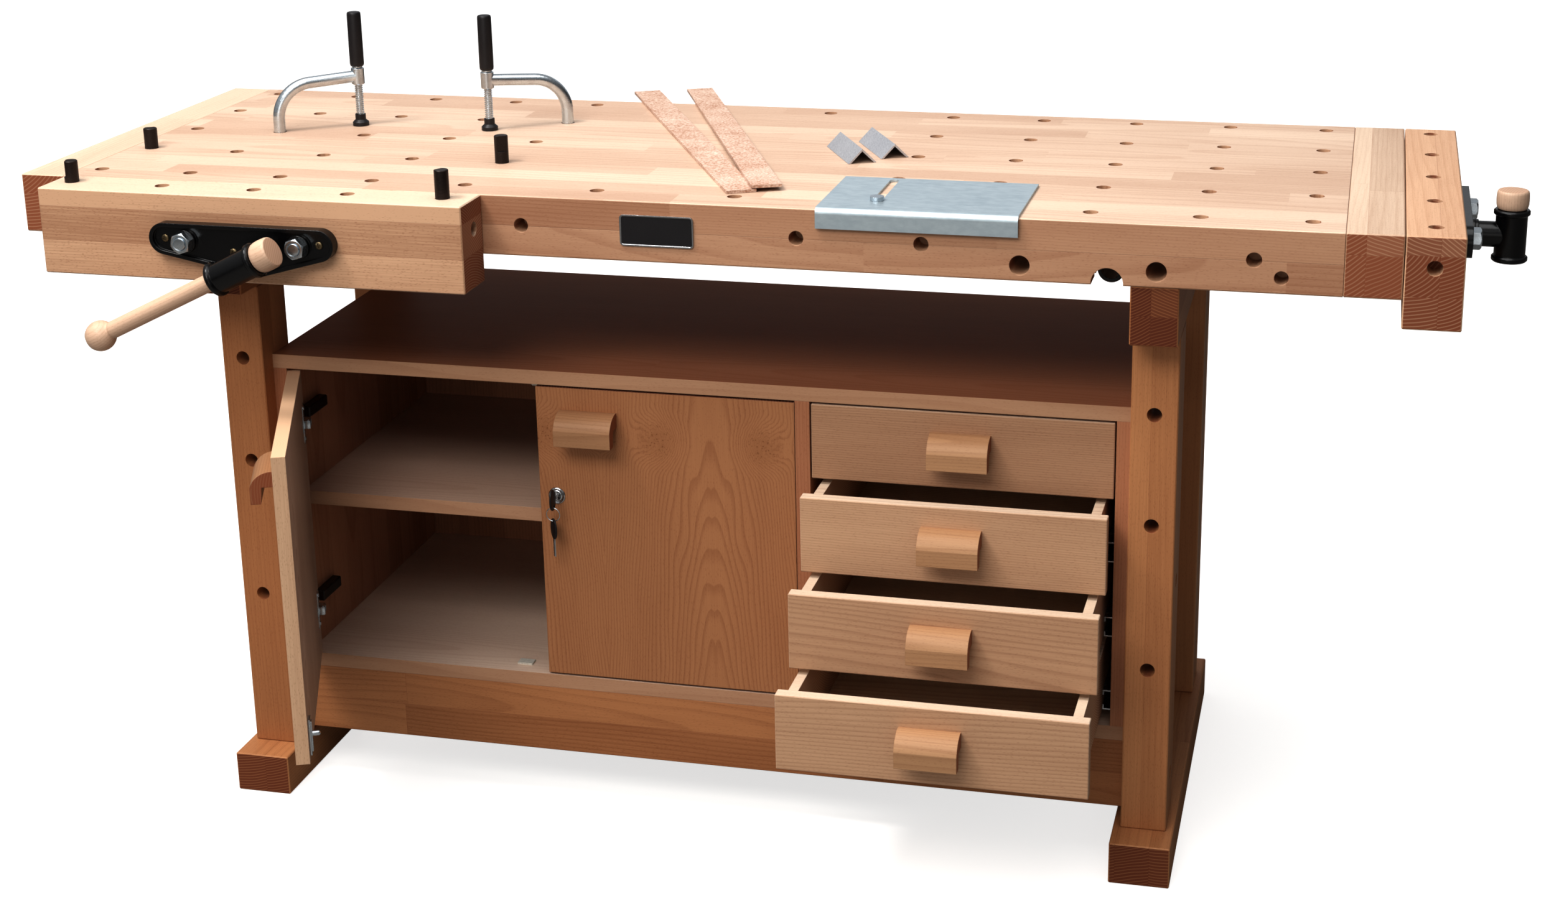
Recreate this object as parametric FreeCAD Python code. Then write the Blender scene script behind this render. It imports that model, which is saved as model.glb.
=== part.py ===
import FreeCAD, Part
import math
import os
from FreeCAD import Vector

# A joiner's bench with a front vise, an end vise, a stand and a cabinet below.
# Millimetres, +Z up, +X along the bench towards the end vise, +Y from the front to the back.
# Sizes below are counted from the left end cap's outer face, the front edge and the floor.
# Every file is then written about the centre of the left foot's underside.

# ---- driving dimensions -------------------------------------------------------------------

# worktop
bench_height = 900.0
top_depth = 620.0
slab_thickness = 40.0
apron_height = 40.0
front_apron_thickness = 94.0
rear_apron_thickness = 36.0
left_cap_width = 64.0
slab_length = 1692.0
right_cap_width = 69.0
hole_radius = 9.5
row_count = 5
row_pitch = 135.0
first_row = 47.0
left_column = 94.5
left_pitch = 132.0
middle_columns = (805.0, 990.0)
right_column = 1176.5
right_pitch = 135.0
columns_in_block = 5
face_hole_places = (716.0, 1082.0, 1242.0, 1650.0)
face_hole_drop = 39.0
face_hole_depth = 36.0
low_hole_place = 1683.0
low_hole_drop = 60.0
low_hole_radius = 8.7
arris = 1.5

# stand
foot_width = 80.0
foot_height = 58.0
foot_length = 600.0
foot_setback = 2.0
left_foot = 240.0
right_foot = 1492.0
post_width = 60.0
post_depth = 80.0
post_inset = 46.0
bearer_height = 76.0
stretcher_height = 97.0
stretcher_thickness = 36.0
post_hole_heights = (289.0, 490.0, 640.0)
bolt_radius = 4.0
bolt_head_radius = 7.5
bolt_head_height = 8.0
bolt_well_depth = 14.0
bolt_grip = 45.0
upper_bolt_height = 400.0

# cabinet
board = 20.0
cabinet_recess = 28.0
cabinet_bottom = 171.0
cabinet_top_height = 639.0
divider_place = 1057.0
shelf_height = 411.0
shelf_setback = 22.0
back_thickness = 6.0
back_inset = 6.0

# doors
door_thickness = 18.0
door_hinge_gap = 0.9
door_meeting_gap = 3.0
front_gap = 3.0
left_door_opening = 67.4
hinge_offset = 140.0
cup_radius = 17.5
cup_depth = 11.0
cup_edge_distance = 22.0
cup_flange_height = 56.0
hinge_arm_length = 58.0
hinge_arm_height = 16.0
hinge_arm_reach = 14.0
hinge_arm_setback = 32.0
cup_flange_width = 22.0
cup_flange_thickness = 1.2
cup_flange_round = 4.0
hinge_link_width = 18.0
hinge_link_height = 12.0
hinge_link_reach = 9.0
handle_width = 80.0
handle_height = 42.0
handle_reach = 32.0
handle_lip = 13.0
handle_root = 20.0
door_handle_side = 34.0
door_handle_drop = 52.0
drawer_handle_rise = 3.0
roller_width = 22.0
roller_depth = 18.0
roller_height = 10.0
bolt_plate_width = 16.0
bolt_plate_height = 50.0
bolt_plate_thickness = 3.0
bolt_plate_side = 8.0
bolt_plate_rise = 8.0
bolt_knob_radius = 3.5
bolt_knob_reach = 12.0
bolt_knob_rise = 28.0
strike_width = 22.0
strike_depth = 14.0
strike_height = 3.0
strike_side = 30.0
lock_side = 24.0
lock_height = 460.0
lock_radius = 8.5
lock_rim_radius = 11.0
lock_rim = 2.0
lock_tail = 8.0
plug_radius = 5.0
plug_length = 18.0

# drawers, from the top down
drawer_count = 4
drawer_gap = 2.0
drawer_side_gap = 2.0
drawer_openings = (0.0, 68.0, 139.0, 215.0)
drawer_wall = 13.0
drawer_box_depth = 430.0
drawer_box_drop = 6.0
drawer_box_rise = 10.0
drawer_floor = 6.0
runner_gap = 13.0
runner_play = 0.3
runner_height = 28.0
runner_wall = 1.6
runner_lip = 7.0

# vises, shared by the front and the end vise
jaw_thickness = 70.0
jaw_height = 116.0
jaw_gap = 1.0
guide_spacing = 160.0
guide_drop = 60.0
guide_radius = 12.0
guide_play = 0.7
guide_stud_radius = 8.0
stud_play = 0.2
spindle_drop = 78.0
spindle_offset = 19.0
spindle_radius = 12.0
bush_play = 0.06
spindle_arch = 20.0
vise_travel = 160.0
guide_overrun = 4.0
mount_thickness = 28.0
spindle_overrun = 1.0
mount_margin = 19.0
mount_boss_radius = 22.0
mount_bar_height = 38.0
flange_thickness = 15.0
flange_rim = 5.0
flange_pocket = 5.0
lobe_spacing = 217.0
lobe_radius = 21.0
lobe_drop = 57.0
vertex_radius = 25.0
hub_radius = 20.0
hub_length = 12.0
nut_flats = 25.0
nut_height = 12.0
stud_end = 1.0
wood_screw_radius = 5.4
wood_screw_head = 2.5
sleeve_distance = 53.0
sleeve_radius = 20.3
sleeve_length = 70.0
sleeve_ring_radius = 23.3
sleeve_ring_length = 8.0
neck_radius = 17.0
collar_radius = 19.0
collar_length = 4.0
bar_radius = 11.5
bar_play = 0.2
knob_radius = 21.0
knob_length = 25.0
knob_round = 6.0

# front vise
front_jaw_start = 67.0
front_jaw_length = 596.0
front_vise_centre = 362.0
front_dog_row = -30.0
front_end_hole_depth = 28.0
spare_vise_centre = 1449.5
spare_guide_spacing = 168.0
spare_spindle_offset = 24.0
front_bar_tilt = 26.4
ball_distance = 224.0
ball_radius = 20.3
ball_flat = 16.0
ball_facets = 8

# end vise
end_vise_centre = 317.0
end_jaw_hole_depth = 34.0
end_bar_length = 62.0

# bench dogs
dog_play = 0.1
dog_length = 76.0
left_dog_proud = 29.0
right_dog_proud = 38.0
dog_flat_depth = 3.0
dog_flat_height = 22.0
dog_turns = (200.0, 150.0, 120.0, -60.0)   # degrees, front left, front right, back left, back right
dog_chamfer = 1.0

# hold-downs: (column and row of the dog hole, counted from 0, direction of the arm in plan)
holddown_places = {"left": (1, 2, 33.6), "right": (4, 3, -144.2)}
tube_radius = 8.6
tube_below = 65.0
arm_corner_height = 66.0
arm_head_height = 74.0
arm_bend_radius = 51.0
arm_reach = 118.0
arm_head_radius = 9.4
arm_head_length = 25.0
clamp_screw_radius = 6.0
clamp_screw_play = 0.1
pad_radius = 11.8
pad_height = 17.0
pad_rim = 5.0
pad_neck_radius = 7.6
pad_socket_depth = 8.0
grip_radius = 10.2
grip_bottom = 88.5
grip_length = 80.0
grip_round = 2.0

# stop plate
stop_left = 1108.0
stop_width = 256.0
stop_depth = 171.0
stop_thickness = 3.0
stop_bend_radius = 8.0
stop_lip = 24.0
stop_standoff = 2.6
stop_slot_width = 12.0
stop_slot_start = 41.0
stop_slot_end = 162.0
stop_screw_radius = 5.5
stop_screw_head_radius = 9.0
stop_screw_head = 5.0
stop_washer_radius = 14.0

# loose pieces on the worktop
rest_gap = 0.3
angle_leg = 28.0
angle_wall = 2.5
angle_length = 118.0
angle_turn = 27.6
angle_places = {"left": (1110.0, 263.0), "right": (1147.0, 301.5)}
strip_length = 700.0
strip_width = 40.0
strip_thickness = 4.0
strip_ends = {"left": ((994.0, 66.0), 117.5), "right": ((1024.0, 80.0), 113.4)}
strip_lift = 5.1
strip_tilt = 0.45

# badge
badge_left = 850.0
badge_width = 98.0
badge_height = 41.0
badge_thickness = 2.0
badge_round = 5.0
badge_drop = 18.0

# keys
key_bow_width = 21.0
key_bow_height = 30.0
key_thickness = 3.0
key_web = 2.0
key_overlap = 1.0
key_shank = 7.0
key_shank_width = 2.0
key_shank_height = 6.0
ring_radius = 9.5
ring_wire = 0.7
key_hole_radius = 3.0
ring_play = 1.0
spare_key_turn = 40.0
key_blade_width = 6.0
key_blade_length = 26.0
key_blade_thickness = 2.0

# ---- places worked out from the sizes ---------------------------------------------------

slab_bottom = bench_height - slab_thickness
apron_bottom = slab_bottom - apron_height
slab_start = left_cap_width
slab_end = slab_start + slab_length
cap_end = slab_end + right_cap_width
bearer_bottom = apron_bottom - bearer_height
post_margin = (foot_width - post_width) / 2
left_post = left_foot + post_margin
right_post = right_foot + post_margin
front_post = foot_setback + post_inset
rear_post = foot_setback + foot_length - post_inset - post_depth
cabinet_left = left_post + post_width
cabinet_right = right_post
cabinet_front = front_post + cabinet_recess
cabinet_back_face = rear_post + post_depth
cabinet_floor = cabinet_bottom + board
cabinet_ceiling = cabinet_top_height - board
bay_left = cabinet_left + board
bay_right = divider_place
drawer_left = divider_place + board
drawer_right = cabinet_right - board
front_low = cabinet_floor + front_gap
front_high = cabinet_ceiling - front_gap
door_height = front_high - front_low
door_width = (bay_right - bay_left - 2 * door_hinge_gap - door_meeting_gap) / 2
left_hinge = Vector(bay_left + door_hinge_gap, cabinet_front, 0)
right_hinge = Vector(bay_right - door_hinge_gap, cabinet_front, 0)
front_height = (door_height - (drawer_count - 1) * drawer_gap) / drawer_count
guide_height = bench_height - guide_drop
spindle_height = bench_height - spindle_drop
rows = [first_row + row_pitch * n for n in range(row_count)]
left_columns = [left_column + left_pitch * n for n in range(columns_in_block)]
right_columns = [right_column + right_pitch * n for n in range(columns_in_block)]
face_hole_height = bench_height - face_hole_drop
key_hole_offset = key_bow_height / 2 - key_web - key_hole_radius
origin = Vector(left_foot + foot_width / 2, foot_setback + foot_length / 2, 0)
X = Vector(1, 0, 0)
Y = Vector(0, 1, 0)
Z = Vector(0, 0, 1)


# ---- small helpers ------------------------------------------------------------------------

def box(x0, y0, z0, x1, y1, z1):
    return Part.makeBox(x1 - x0, y1 - y0, z1 - z0, Vector(x0, y0, z0))


def rod(start, direction, radius, length):
    return Part.makeCylinder(radius, length, start, direction)


def drilled(shape, holes):
    return shape.cut(Part.makeCompound(holes)) if holes else shape


def eased(shape, size=arris):
    return shape.makeChamfer(size, shape.Edges)


def eased_edge(shape, y, z, size=arris):
    """Ease only the long edge that runs along X at this depth and height."""
    edges = [e for e in shape.Edges if abs(e.tangentAt(e.FirstParameter).x) > 0.9
             and abs(e.CenterOfMass.y - y) < 0.01 and abs(e.CenterOfMass.z - z) < 0.01]
    return shape.makeChamfer(size, edges)


def upright_hole(x, y, low, high):
    return rod(Vector(x, y, low - 1), Z, hole_radius, high - low + 2)


def prism(points, along):
    return Part.Face(Part.makePolygon(points + [points[0]])).extrude(along)


def revolved(profile, start, direction):
    """A turned solid: profile is a closed list of (radius, height) along direction from start."""
    points = [Vector(r, 0, h) for r, h in profile]
    face = Part.Face(Part.makePolygon(points + [points[0]]))
    solid = face.revolve(Vector(0, 0, 0), Z, 360)
    turn = FreeCAD.Rotation(Z, direction)
    solid.Placement = FreeCAD.Placement(start, turn)
    return solid


def rounded_panel(width, height, thickness, radius):
    """A plate in the XZ plane with round corners, its lower left corner at the origin."""
    plate = Part.makeBox(width, thickness, height)
    corners = [e for e in plate.Edges if abs(e.tangentAt(e.FirstParameter).y) > 0.9]
    return plate.makeFillet(radius, corners)


def save(name, *solids):
    """Write one node, with its place counted from the left foot."""
    moved = []
    for solid in solids:
        copy = solid.removeSplitter() if solid.ShapeType == "Compound" else solid.copy()
        moved += [s.copy() for s in copy.Solids]
    for solid in moved:
        solid.translate(-origin)
    shape = moved[0] if len(moved) == 1 else Part.makeCompound(moved)
    shape.exportStep("parts/" + name + ".step")


# ---- worktop ------------------------------------------------------------------------------

def vise_passages(centre, along, start, length, spacing=guide_spacing, offset=spindle_offset):
    """Guide bores and the spindle's arch for a vise centred at a place on an edge."""
    cuts = []
    for side in (-1, 1):
        place = centre + side * spacing / 2
        at = Vector(place, start, guide_height) if along is Y else Vector(start, place, guide_height)
        cuts.append(rod(at, along, guide_radius + guide_play, length))
    place = centre + offset
    at = Vector(place, start, spindle_height) if along is Y else Vector(start, place, spindle_height)
    cuts.append(rod(at, along, spindle_arch, length))
    return cuts


def face_holes():
    """Level holes in the front edge, for round pegs that carry long work."""
    holes = [rod(Vector(x, -1, face_hole_height), Y, hole_radius, face_hole_depth + 1)
             for x in face_hole_places]
    low = Vector(low_hole_place, -1, bench_height - low_hole_drop)
    holes.append(rod(low, Y, low_hole_radius, face_hole_depth + 1))
    return holes


def make_worktop():
    slab = box(slab_start, 0, slab_bottom, slab_end, top_depth, bench_height)
    for y in (0, top_depth):
        slab = eased_edge(slab, y, bench_height)
    holes = [upright_hole(x, y, slab_bottom, bench_height)
             for x in left_columns + right_columns for y in rows]
    holes += [upright_hole(x, y, slab_bottom, bench_height)
              for x in middle_columns for y in (rows[0], rows[-1])]
    return drilled(slab, holes + face_holes())


def make_front_apron():
    apron = eased_edge(box(slab_start, 0, apron_bottom, slab_end, front_apron_thickness, slab_bottom), 0,
                       apron_bottom)
    cuts = face_holes()
    through = front_apron_thickness + 2
    cuts += vise_passages(front_vise_centre, Y, -1, through)
    cuts += vise_passages(spare_vise_centre, Y, -1, through, spare_guide_spacing, spare_spindle_offset)
    columns = left_columns + list(middle_columns) + right_columns
    cuts += [upright_hole(x, rows[0], apron_bottom, slab_bottom) for x in columns]
    return drilled(apron, cuts)


def make_rear_apron():
    apron = box(slab_start, top_depth - rear_apron_thickness, apron_bottom, slab_end, top_depth, slab_bottom)
    return eased_edge(apron, top_depth, apron_bottom)


def make_end_caps():
    left = eased(box(0, 0, apron_bottom, slab_start, top_depth, bench_height))
    right = eased(box(slab_end, 0, apron_bottom, cap_end, top_depth, bench_height))
    return left, drilled(right, vise_passages(end_vise_centre, X, slab_end - 1, right_cap_width + 2))


def make_badge():
    plate = rounded_panel(badge_width, badge_height, badge_thickness, badge_round)
    plate.translate(Vector(badge_left, -badge_thickness, bench_height - badge_drop - badge_height))
    return plate


# ---- stand --------------------------------------------------------------------------------

def make_feet():
    ends = foot_setback + foot_length
    return [eased(box(x, foot_setback, 0, x + foot_width, ends, foot_height))
            for x in (left_foot, right_foot)]


def bolt_places():
    """Front and rear line, lower and upper height of the stand's bolts."""
    lines = (cabinet_front + stretcher_thickness / 2, cabinet_back_face - stretcher_thickness / 2)
    heights = (cabinet_bottom - stretcher_height / 2, upper_bolt_height)
    return [(y, z) for y in lines for z in heights]


def bolt_cuts():
    """Wells for the bolt heads and holes for the shanks, at both ends of the stand."""
    cuts = []
    for outer, inward in ((left_post, X), (right_post + post_width, -X)):
        for y, z in bolt_places():
            start = Vector(outer, y, z) - inward
            cuts.append(rod(start, inward, hole_radius, bolt_well_depth + 1))
            cuts.append(rod(start, inward, bolt_radius, post_width + bolt_grip + 1))
    return cuts


def make_posts():
    posts = []
    for x in (left_post, right_post):
        for y in (front_post, rear_post):
            post = eased(box(x, y, foot_height, x + post_width, y + post_depth, bearer_bottom))
            cuts = bolt_cuts()
            if y == front_post:
                middle = x + post_width / 2
                reach = post_depth + 2
                cuts += [rod(Vector(middle, y - 1, z), Y, hole_radius, reach) for z in post_hole_heights]
            posts.append(drilled(post, cuts))
    return posts


def make_bearers():
    ends = foot_setback + foot_length
    return [eased(box(x, foot_setback, bearer_bottom, x + post_width, ends, apron_bottom))
            for x in (left_post, right_post)]


def make_stretchers():
    low = cabinet_bottom - stretcher_height
    front = box(cabinet_left, cabinet_front, low, cabinet_right, cabinet_front + stretcher_thickness,
                cabinet_bottom)
    rear = box(cabinet_left, cabinet_back_face - stretcher_thickness, low, cabinet_right, cabinet_back_face,
               cabinet_bottom)
    return [drilled(rail, bolt_cuts()) for rail in (front, rear)]


def make_bolts():
    """Stand bolts in their wells, and the clamp screw of the stop plate in its dog hole."""
    bolts = []
    for outer, inward in ((left_post, X), (right_post + post_width, -X)):
        for y, z in bolt_places():
            seat = Vector(outer, y, z) + inward * bolt_well_depth
            grip = post_width - bolt_well_depth + (bolt_grip if z < cabinet_bottom else board)
            head = rod(seat - inward * bolt_head_height, inward, bolt_head_radius, bolt_head_height)
            bolts.append(head.fuse(rod(seat, inward, bolt_radius, grip)).removeSplitter())
    place = Vector(right_columns[0], rows[0], 0)
    head_seat = bench_height + 2 * rest_gap + stop_thickness
    washer = rod(place + Z * (apron_bottom - stop_screw_head), Z, stop_washer_radius, stop_screw_head)
    shank = rod(place + Z * apron_bottom, Z, stop_screw_radius, head_seat - apron_bottom)
    head = rod(place + Z * head_seat, Z, stop_screw_head_radius, stop_screw_head)
    bolts.append(washer.fuse([shank, head]).removeSplitter())
    return bolts


# ---- cabinet ------------------------------------------------------------------------------

def make_cabinet_top():
    return box(cabinet_left, cabinet_front, cabinet_ceiling, cabinet_right, cabinet_back_face,
               cabinet_top_height)


def make_cabinet_bottom():
    return box(cabinet_left, cabinet_front, cabinet_bottom, cabinet_right, cabinet_back_face, cabinet_floor)


def make_uprights():
    starts = (cabinet_left, divider_place, cabinet_right - board)
    depth = back_inset + back_thickness
    walls = []
    for x in starts:
        back = cabinet_back_face - (depth if x == divider_place else 0)
        wall = box(x, cabinet_front, cabinet_floor, x + board, back, cabinet_ceiling)
        walls.append(drilled(wall, bolt_cuts()) if x != divider_place else wall)
    return walls


def make_back():
    rear = cabinet_back_face - back_inset
    return box(bay_left, rear - back_thickness, cabinet_floor, drawer_right, rear, cabinet_ceiling)


def make_shelf():
    rear = cabinet_back_face - back_inset - back_thickness
    return box(bay_left, cabinet_front + shelf_setback, shelf_height, bay_right, rear, shelf_height + board)


def make_runners():
    """Channel runners on both sides of each drawer, open towards the drawer."""
    runners = []
    start = cabinet_front + door_thickness + front_gap
    for n in range(drawer_count):
        low = drawer_bottom(n) + drawer_box_rise
        high = low + runner_height
        for wall, face, inward in ((drawer_left, drawer_left + runner_gap - runner_play, 1),
                                   (drawer_right, drawer_right - runner_gap + runner_play, -1)):
            lip = runner_wall * inward
            profile = [(wall, low), (face, low), (face, low + runner_lip), (face - lip, low + runner_lip),
                       (face - lip, low + runner_wall), (wall + lip, low + runner_wall),
                       (wall + lip, high - runner_wall), (face - lip, high - runner_wall),
                       (face - lip, high - runner_lip), (face, high - runner_lip), (face, high), (wall, high)]
            points = [Vector(x, start, z) for x, z in profile]
            runners.append(prism(points, Y * drawer_box_depth))
    return runners


def hinge_heights():
    middle = (front_low + front_high) / 2
    return (middle - hinge_offset, middle + hinge_offset)


def make_hinge_arms():
    arms = []
    start = cabinet_front + hinge_arm_setback
    for z in hinge_heights():
        low = z - hinge_arm_height / 2
        high = z + hinge_arm_height / 2
        ends = start + hinge_arm_length
        left = box(bay_left, start, low, bay_left + hinge_arm_reach, ends, high)
        right = box(bay_right - hinge_arm_reach, start, low, bay_right, ends, high)
        arms += [eased(left), eased(right)]
    return arms


def make_catches():
    """Roller catch under the cabinet's top board, and the bolt's strike on the bottom board."""
    meeting = left_hinge.x + door_width
    inside = cabinet_front + door_thickness + front_gap
    half = roller_width / 2
    roller = box(meeting - half, inside, cabinet_ceiling - roller_height, meeting + half,
                 inside + roller_depth, cabinet_ceiling)
    left = meeting - strike_side - strike_width
    strike = box(left, inside, cabinet_floor, left + strike_width, inside + strike_depth,
                 cabinet_floor + strike_height)
    return eased(roller), strike


# ---- doors --------------------------------------------------------------------------------

def make_handle():
    """A beech pull: a quarter-round top, a hanging lip and a finger gap behind the lip.

    Its back lies in the plane y = 0, it reaches towards -Y, and its middle is at x = z = 0.
    """
    top = handle_height / 2
    root = top - handle_root
    lip_inside = -(handle_reach - handle_lip)
    curve = Part.Arc(Vector(0, 0, top), Vector(0, -handle_reach * 0.72, top - handle_root * 0.32),
                     Vector(0, -handle_reach, root)).toShape()
    corners = [Vector(0, -handle_reach, root), Vector(0, -handle_reach, -top), Vector(0, lip_inside, -top),
               Vector(0, lip_inside + 2, root), Vector(0, 0, root), Vector(0, 0, top)]
    lines = [Part.makeLine(corners[n], corners[n + 1]) for n in range(len(corners) - 1)]
    handle = Part.Face(Part.Wire([curve] + lines)).extrude(X * handle_width)
    handle.translate(X * (-handle_width / 2))
    return handle


def hinge_cup_places(hinge_x, inward):
    return [Vector(hinge_x + inward * cup_edge_distance, cabinet_front + door_thickness, z)
            for z in hinge_heights()]


def cup_recesses(hinge_x, inward):
    return [rod(at, -Y, cup_radius, cup_depth) for at in hinge_cup_places(hinge_x, inward)]


def make_hinge_cups(hinge_x, inward):
    """Cup, flange and folded link of each concealed hinge, on the door's inner face."""
    cups = []
    for at in hinge_cup_places(hinge_x, inward):
        cup = rod(at, -Y, cup_radius, cup_depth)
        flange = rounded_panel(cup_flange_width, cup_flange_height, cup_flange_thickness, cup_flange_round)
        flange.translate(at - Vector(cup_flange_width / 2, 0, cup_flange_height / 2))
        wide = hinge_link_width / 2
        tall = hinge_link_height / 2
        link = box(at.x - wide, at.y, at.z - tall, at.x + wide, at.y + hinge_link_reach, at.z + tall)
        cups.append(cup.fuse([flange, link]).removeSplitter())
    return cups


def opened(shape):
    turned = shape.copy()
    turned.rotate(left_hinge, Z, -left_door_opening)
    return turned


def make_left_door():
    start = left_hinge.x
    panel = box(start, cabinet_front, front_low, start + door_width, cabinet_front + door_thickness,
                front_high)
    return opened(drilled(panel, cup_recesses(start, 1)))


def make_left_door_handle():
    handle = make_handle()
    middle = left_hinge.x + door_width - door_handle_side - handle_width / 2
    handle.translate(Vector(middle, cabinet_front, front_high - door_handle_drop))
    return opened(handle)


def make_left_door_fittings():
    """Hinge cups, and the surface bolt near the free edge."""
    cups = make_hinge_cups(left_hinge.x, 1)
    edge = left_hinge.x + door_width
    inside = cabinet_front + door_thickness
    left = edge - bolt_plate_side - bolt_plate_width
    low = front_low + bolt_plate_rise
    face = inside + bolt_plate_thickness
    plate = box(left, inside, low, left + bolt_plate_width, face, low + bolt_plate_height)
    knob = rod(Vector(left + bolt_plate_width / 2, face, low + bolt_knob_rise), Y, bolt_knob_radius,
               bolt_knob_reach)
    bolt = plate.fuse(knob).removeSplitter()
    return [opened(piece) for piece in cups + [bolt]]


def lock_centre():
    return Vector(right_hinge.x - door_width + lock_side, cabinet_front, lock_height)


def make_right_door():
    start = right_hinge.x - door_width
    panel = box(start, cabinet_front, front_low, right_hinge.x, cabinet_front + door_thickness, front_high)
    hole = rod(lock_centre() - Y, Y, lock_radius, door_thickness + 2)
    return drilled(panel, cup_recesses(right_hinge.x, -1) + [hole])


def make_right_door_handle():
    handle = make_handle()
    middle = right_hinge.x - door_width + door_handle_side + handle_width / 2
    handle.translate(Vector(middle, cabinet_front, front_high - door_handle_drop))
    return handle


def make_right_door_fittings():
    centre = lock_centre()
    barrel = rod(centre, Y, lock_radius, door_thickness + lock_tail)
    rim = rod(centre - Y * lock_rim, Y, lock_rim_radius, lock_rim)
    bore = rod(centre - Y * (lock_rim + 1), Y, plug_radius + bush_play, plug_length + 2)
    lock = barrel.fuse(rim).removeSplitter().cut(bore)
    return make_hinge_cups(right_hinge.x, -1) + [lock]


def key_plate(hole_height):
    """A key's oval bow in the YZ plane, its middle at the origin, with a hole for the ring."""
    bow = Part.Ellipse(Vector(0, 0, 0), key_bow_height / 2, key_bow_width / 2)
    face = Part.Face(Part.Wire(bow.toShape()))
    face.rotate(Vector(0, 0, 0), Z, 90)
    plate = face.extrude(Z * key_thickness)
    plate.translate(Z * (-key_thickness / 2))
    plate.rotate(Vector(0, 0, 0), Y, 90)
    plate.rotate(Vector(0, 0, 0), X, 90)
    hole = rod(Vector(-key_thickness, 0, hole_height), X, key_hole_radius, 2 * key_thickness)
    return plate.cut(hole)


def key_bow_middle():
    return lock_centre() - Y * (lock_rim + key_shank + key_bow_width / 2 - key_overlap)


def ring_hang():
    """The point of the lock key's bow that carries the ring, at the bottom of its hole."""
    return key_bow_middle() - Z * key_hole_offset


def make_lock_key():
    """The lock's plug and the key in it, which turn together."""
    centre = lock_centre()
    plug = rod(centre - Y * lock_rim, Y, plug_radius, plug_length)
    shank_start = centre - Y * (lock_rim + key_shank)
    wide = key_shank_width / 2
    tall = key_shank_height / 2
    shank = box(shank_start.x - wide, shank_start.y, centre.z - tall, shank_start.x + wide,
                centre.y - lock_rim, centre.z + tall)
    bow = key_plate(-key_hole_offset)
    bow.translate(key_bow_middle())
    return plug.fuse([shank, bow]).removeSplitter()


def make_spare_key():
    """A wire ring through the lock key's bow, with a second key hanging from it."""
    carry = ring_hang()
    drop = key_hole_radius - ring_wire - ring_play
    ring_middle = carry - Z * (ring_radius + drop)
    corners = [math.radians(turn) for turn in range(0, 360, 60)]
    section = [(ring_radius + ring_wire * math.cos(a), ring_wire * math.sin(a)) for a in corners]
    ring = revolved(section, ring_middle, Y)
    low = ring_middle - Z * (ring_radius + drop)
    bow = key_plate(key_hole_offset)
    blade_top = key_overlap - key_bow_height / 2
    half_width = key_blade_width / 2
    half_thick = key_blade_thickness / 2
    blade = box(-half_thick, -half_width, blade_top - key_blade_length, half_thick, half_width, blade_top)
    key = bow.fuse(blade).removeSplitter()
    key.rotate(Vector(0, 0, 0), Z, spare_key_turn)
    key.translate(low - Z * key_hole_offset)
    return ring, key


# ---- drawers ------------------------------------------------------------------------------

def drawer_bottom(n):
    """Lower edge of the front of drawer n, counted from the top."""
    return front_high - (n + 1) * front_height - n * drawer_gap


def make_drawer(n):
    """Front, two sides, back and floor of one drawer, drawn out by its opening."""
    low = drawer_bottom(n)
    forward = -Y * drawer_openings[n]
    front_face = cabinet_front
    box_start = cabinet_front + door_thickness
    box_end = box_start + drawer_box_depth
    left = drawer_left + runner_gap
    right = drawer_right - runner_gap
    base = low + drawer_box_rise
    high = low + front_height - drawer_box_drop
    front = box(drawer_left + drawer_side_gap, front_face, low, drawer_right - drawer_side_gap, box_start,
                low + front_height)
    pieces = [eased(front, 1.0)]
    pieces.append(box(left, box_start, base, left + drawer_wall, box_end, high))
    pieces.append(box(right - drawer_wall, box_start, base, right, box_end, high))
    pieces.append(box(left + drawer_wall, box_end - drawer_wall, base, right - drawer_wall, box_end, high))
    pieces.append(box(left + drawer_wall, box_start, base, right - drawer_wall, box_end - drawer_wall,
                      base + drawer_floor))
    for piece in pieces:
        piece.translate(forward)
    return pieces


def make_drawer_handle(n):
    handle = make_handle()
    middle = (drawer_left + drawer_right) / 2
    height = drawer_bottom(n) + front_height / 2 + drawer_handle_rise
    handle.translate(Vector(middle, cabinet_front - drawer_openings[n], height))
    return handle


# ---- vises --------------------------------------------------------------------------------
# A vise is drawn once, as the front vise: the jaw closes towards +Y, its rear face lies at
# y = -jaw_gap, and x = 0 is its centre. The end vise is the same set turned by a quarter.

def hull_of_discs(discs, thickness):
    """A plate in the XZ plane that wraps discs, given counter-clockwise as (x, z, radius)."""
    edges = []
    tangents = []
    count = len(discs)
    for n in range(count):
        x1, z1, r1 = discs[n]
        x2, z2, r2 = discs[(n + 1) % count]
        heading = math.atan2(z2 - z1, x2 - x1)
        side = heading - math.acos((r1 - r2) / math.hypot(x2 - x1, z2 - z1))
        unit = Vector(math.cos(side), 0, math.sin(side))
        tangents.append((Vector(x1, 0, z1) + unit * r1, Vector(x2, 0, z2) + unit * r2, side))
    for n in range(count):
        leave, arrive, side = tangents[n]
        edges.append(Part.makeLine(leave, arrive))
        x, z, radius = discs[(n + 1) % count]
        following = tangents[(n + 1) % count]
        turn = (following[2] - side) % (2 * math.pi)
        middle = side + turn / 2
        crown = Vector(x, 0, z) + Vector(math.cos(middle), 0, math.sin(middle)) * radius
        edges.append(Part.Arc(arrive, crown, following[0]).toShape())
    return Part.Face(Part.Wire(edges)).extrude(Y * thickness)


def guide_places():
    return (-guide_spacing / 2, guide_spacing / 2)


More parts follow.
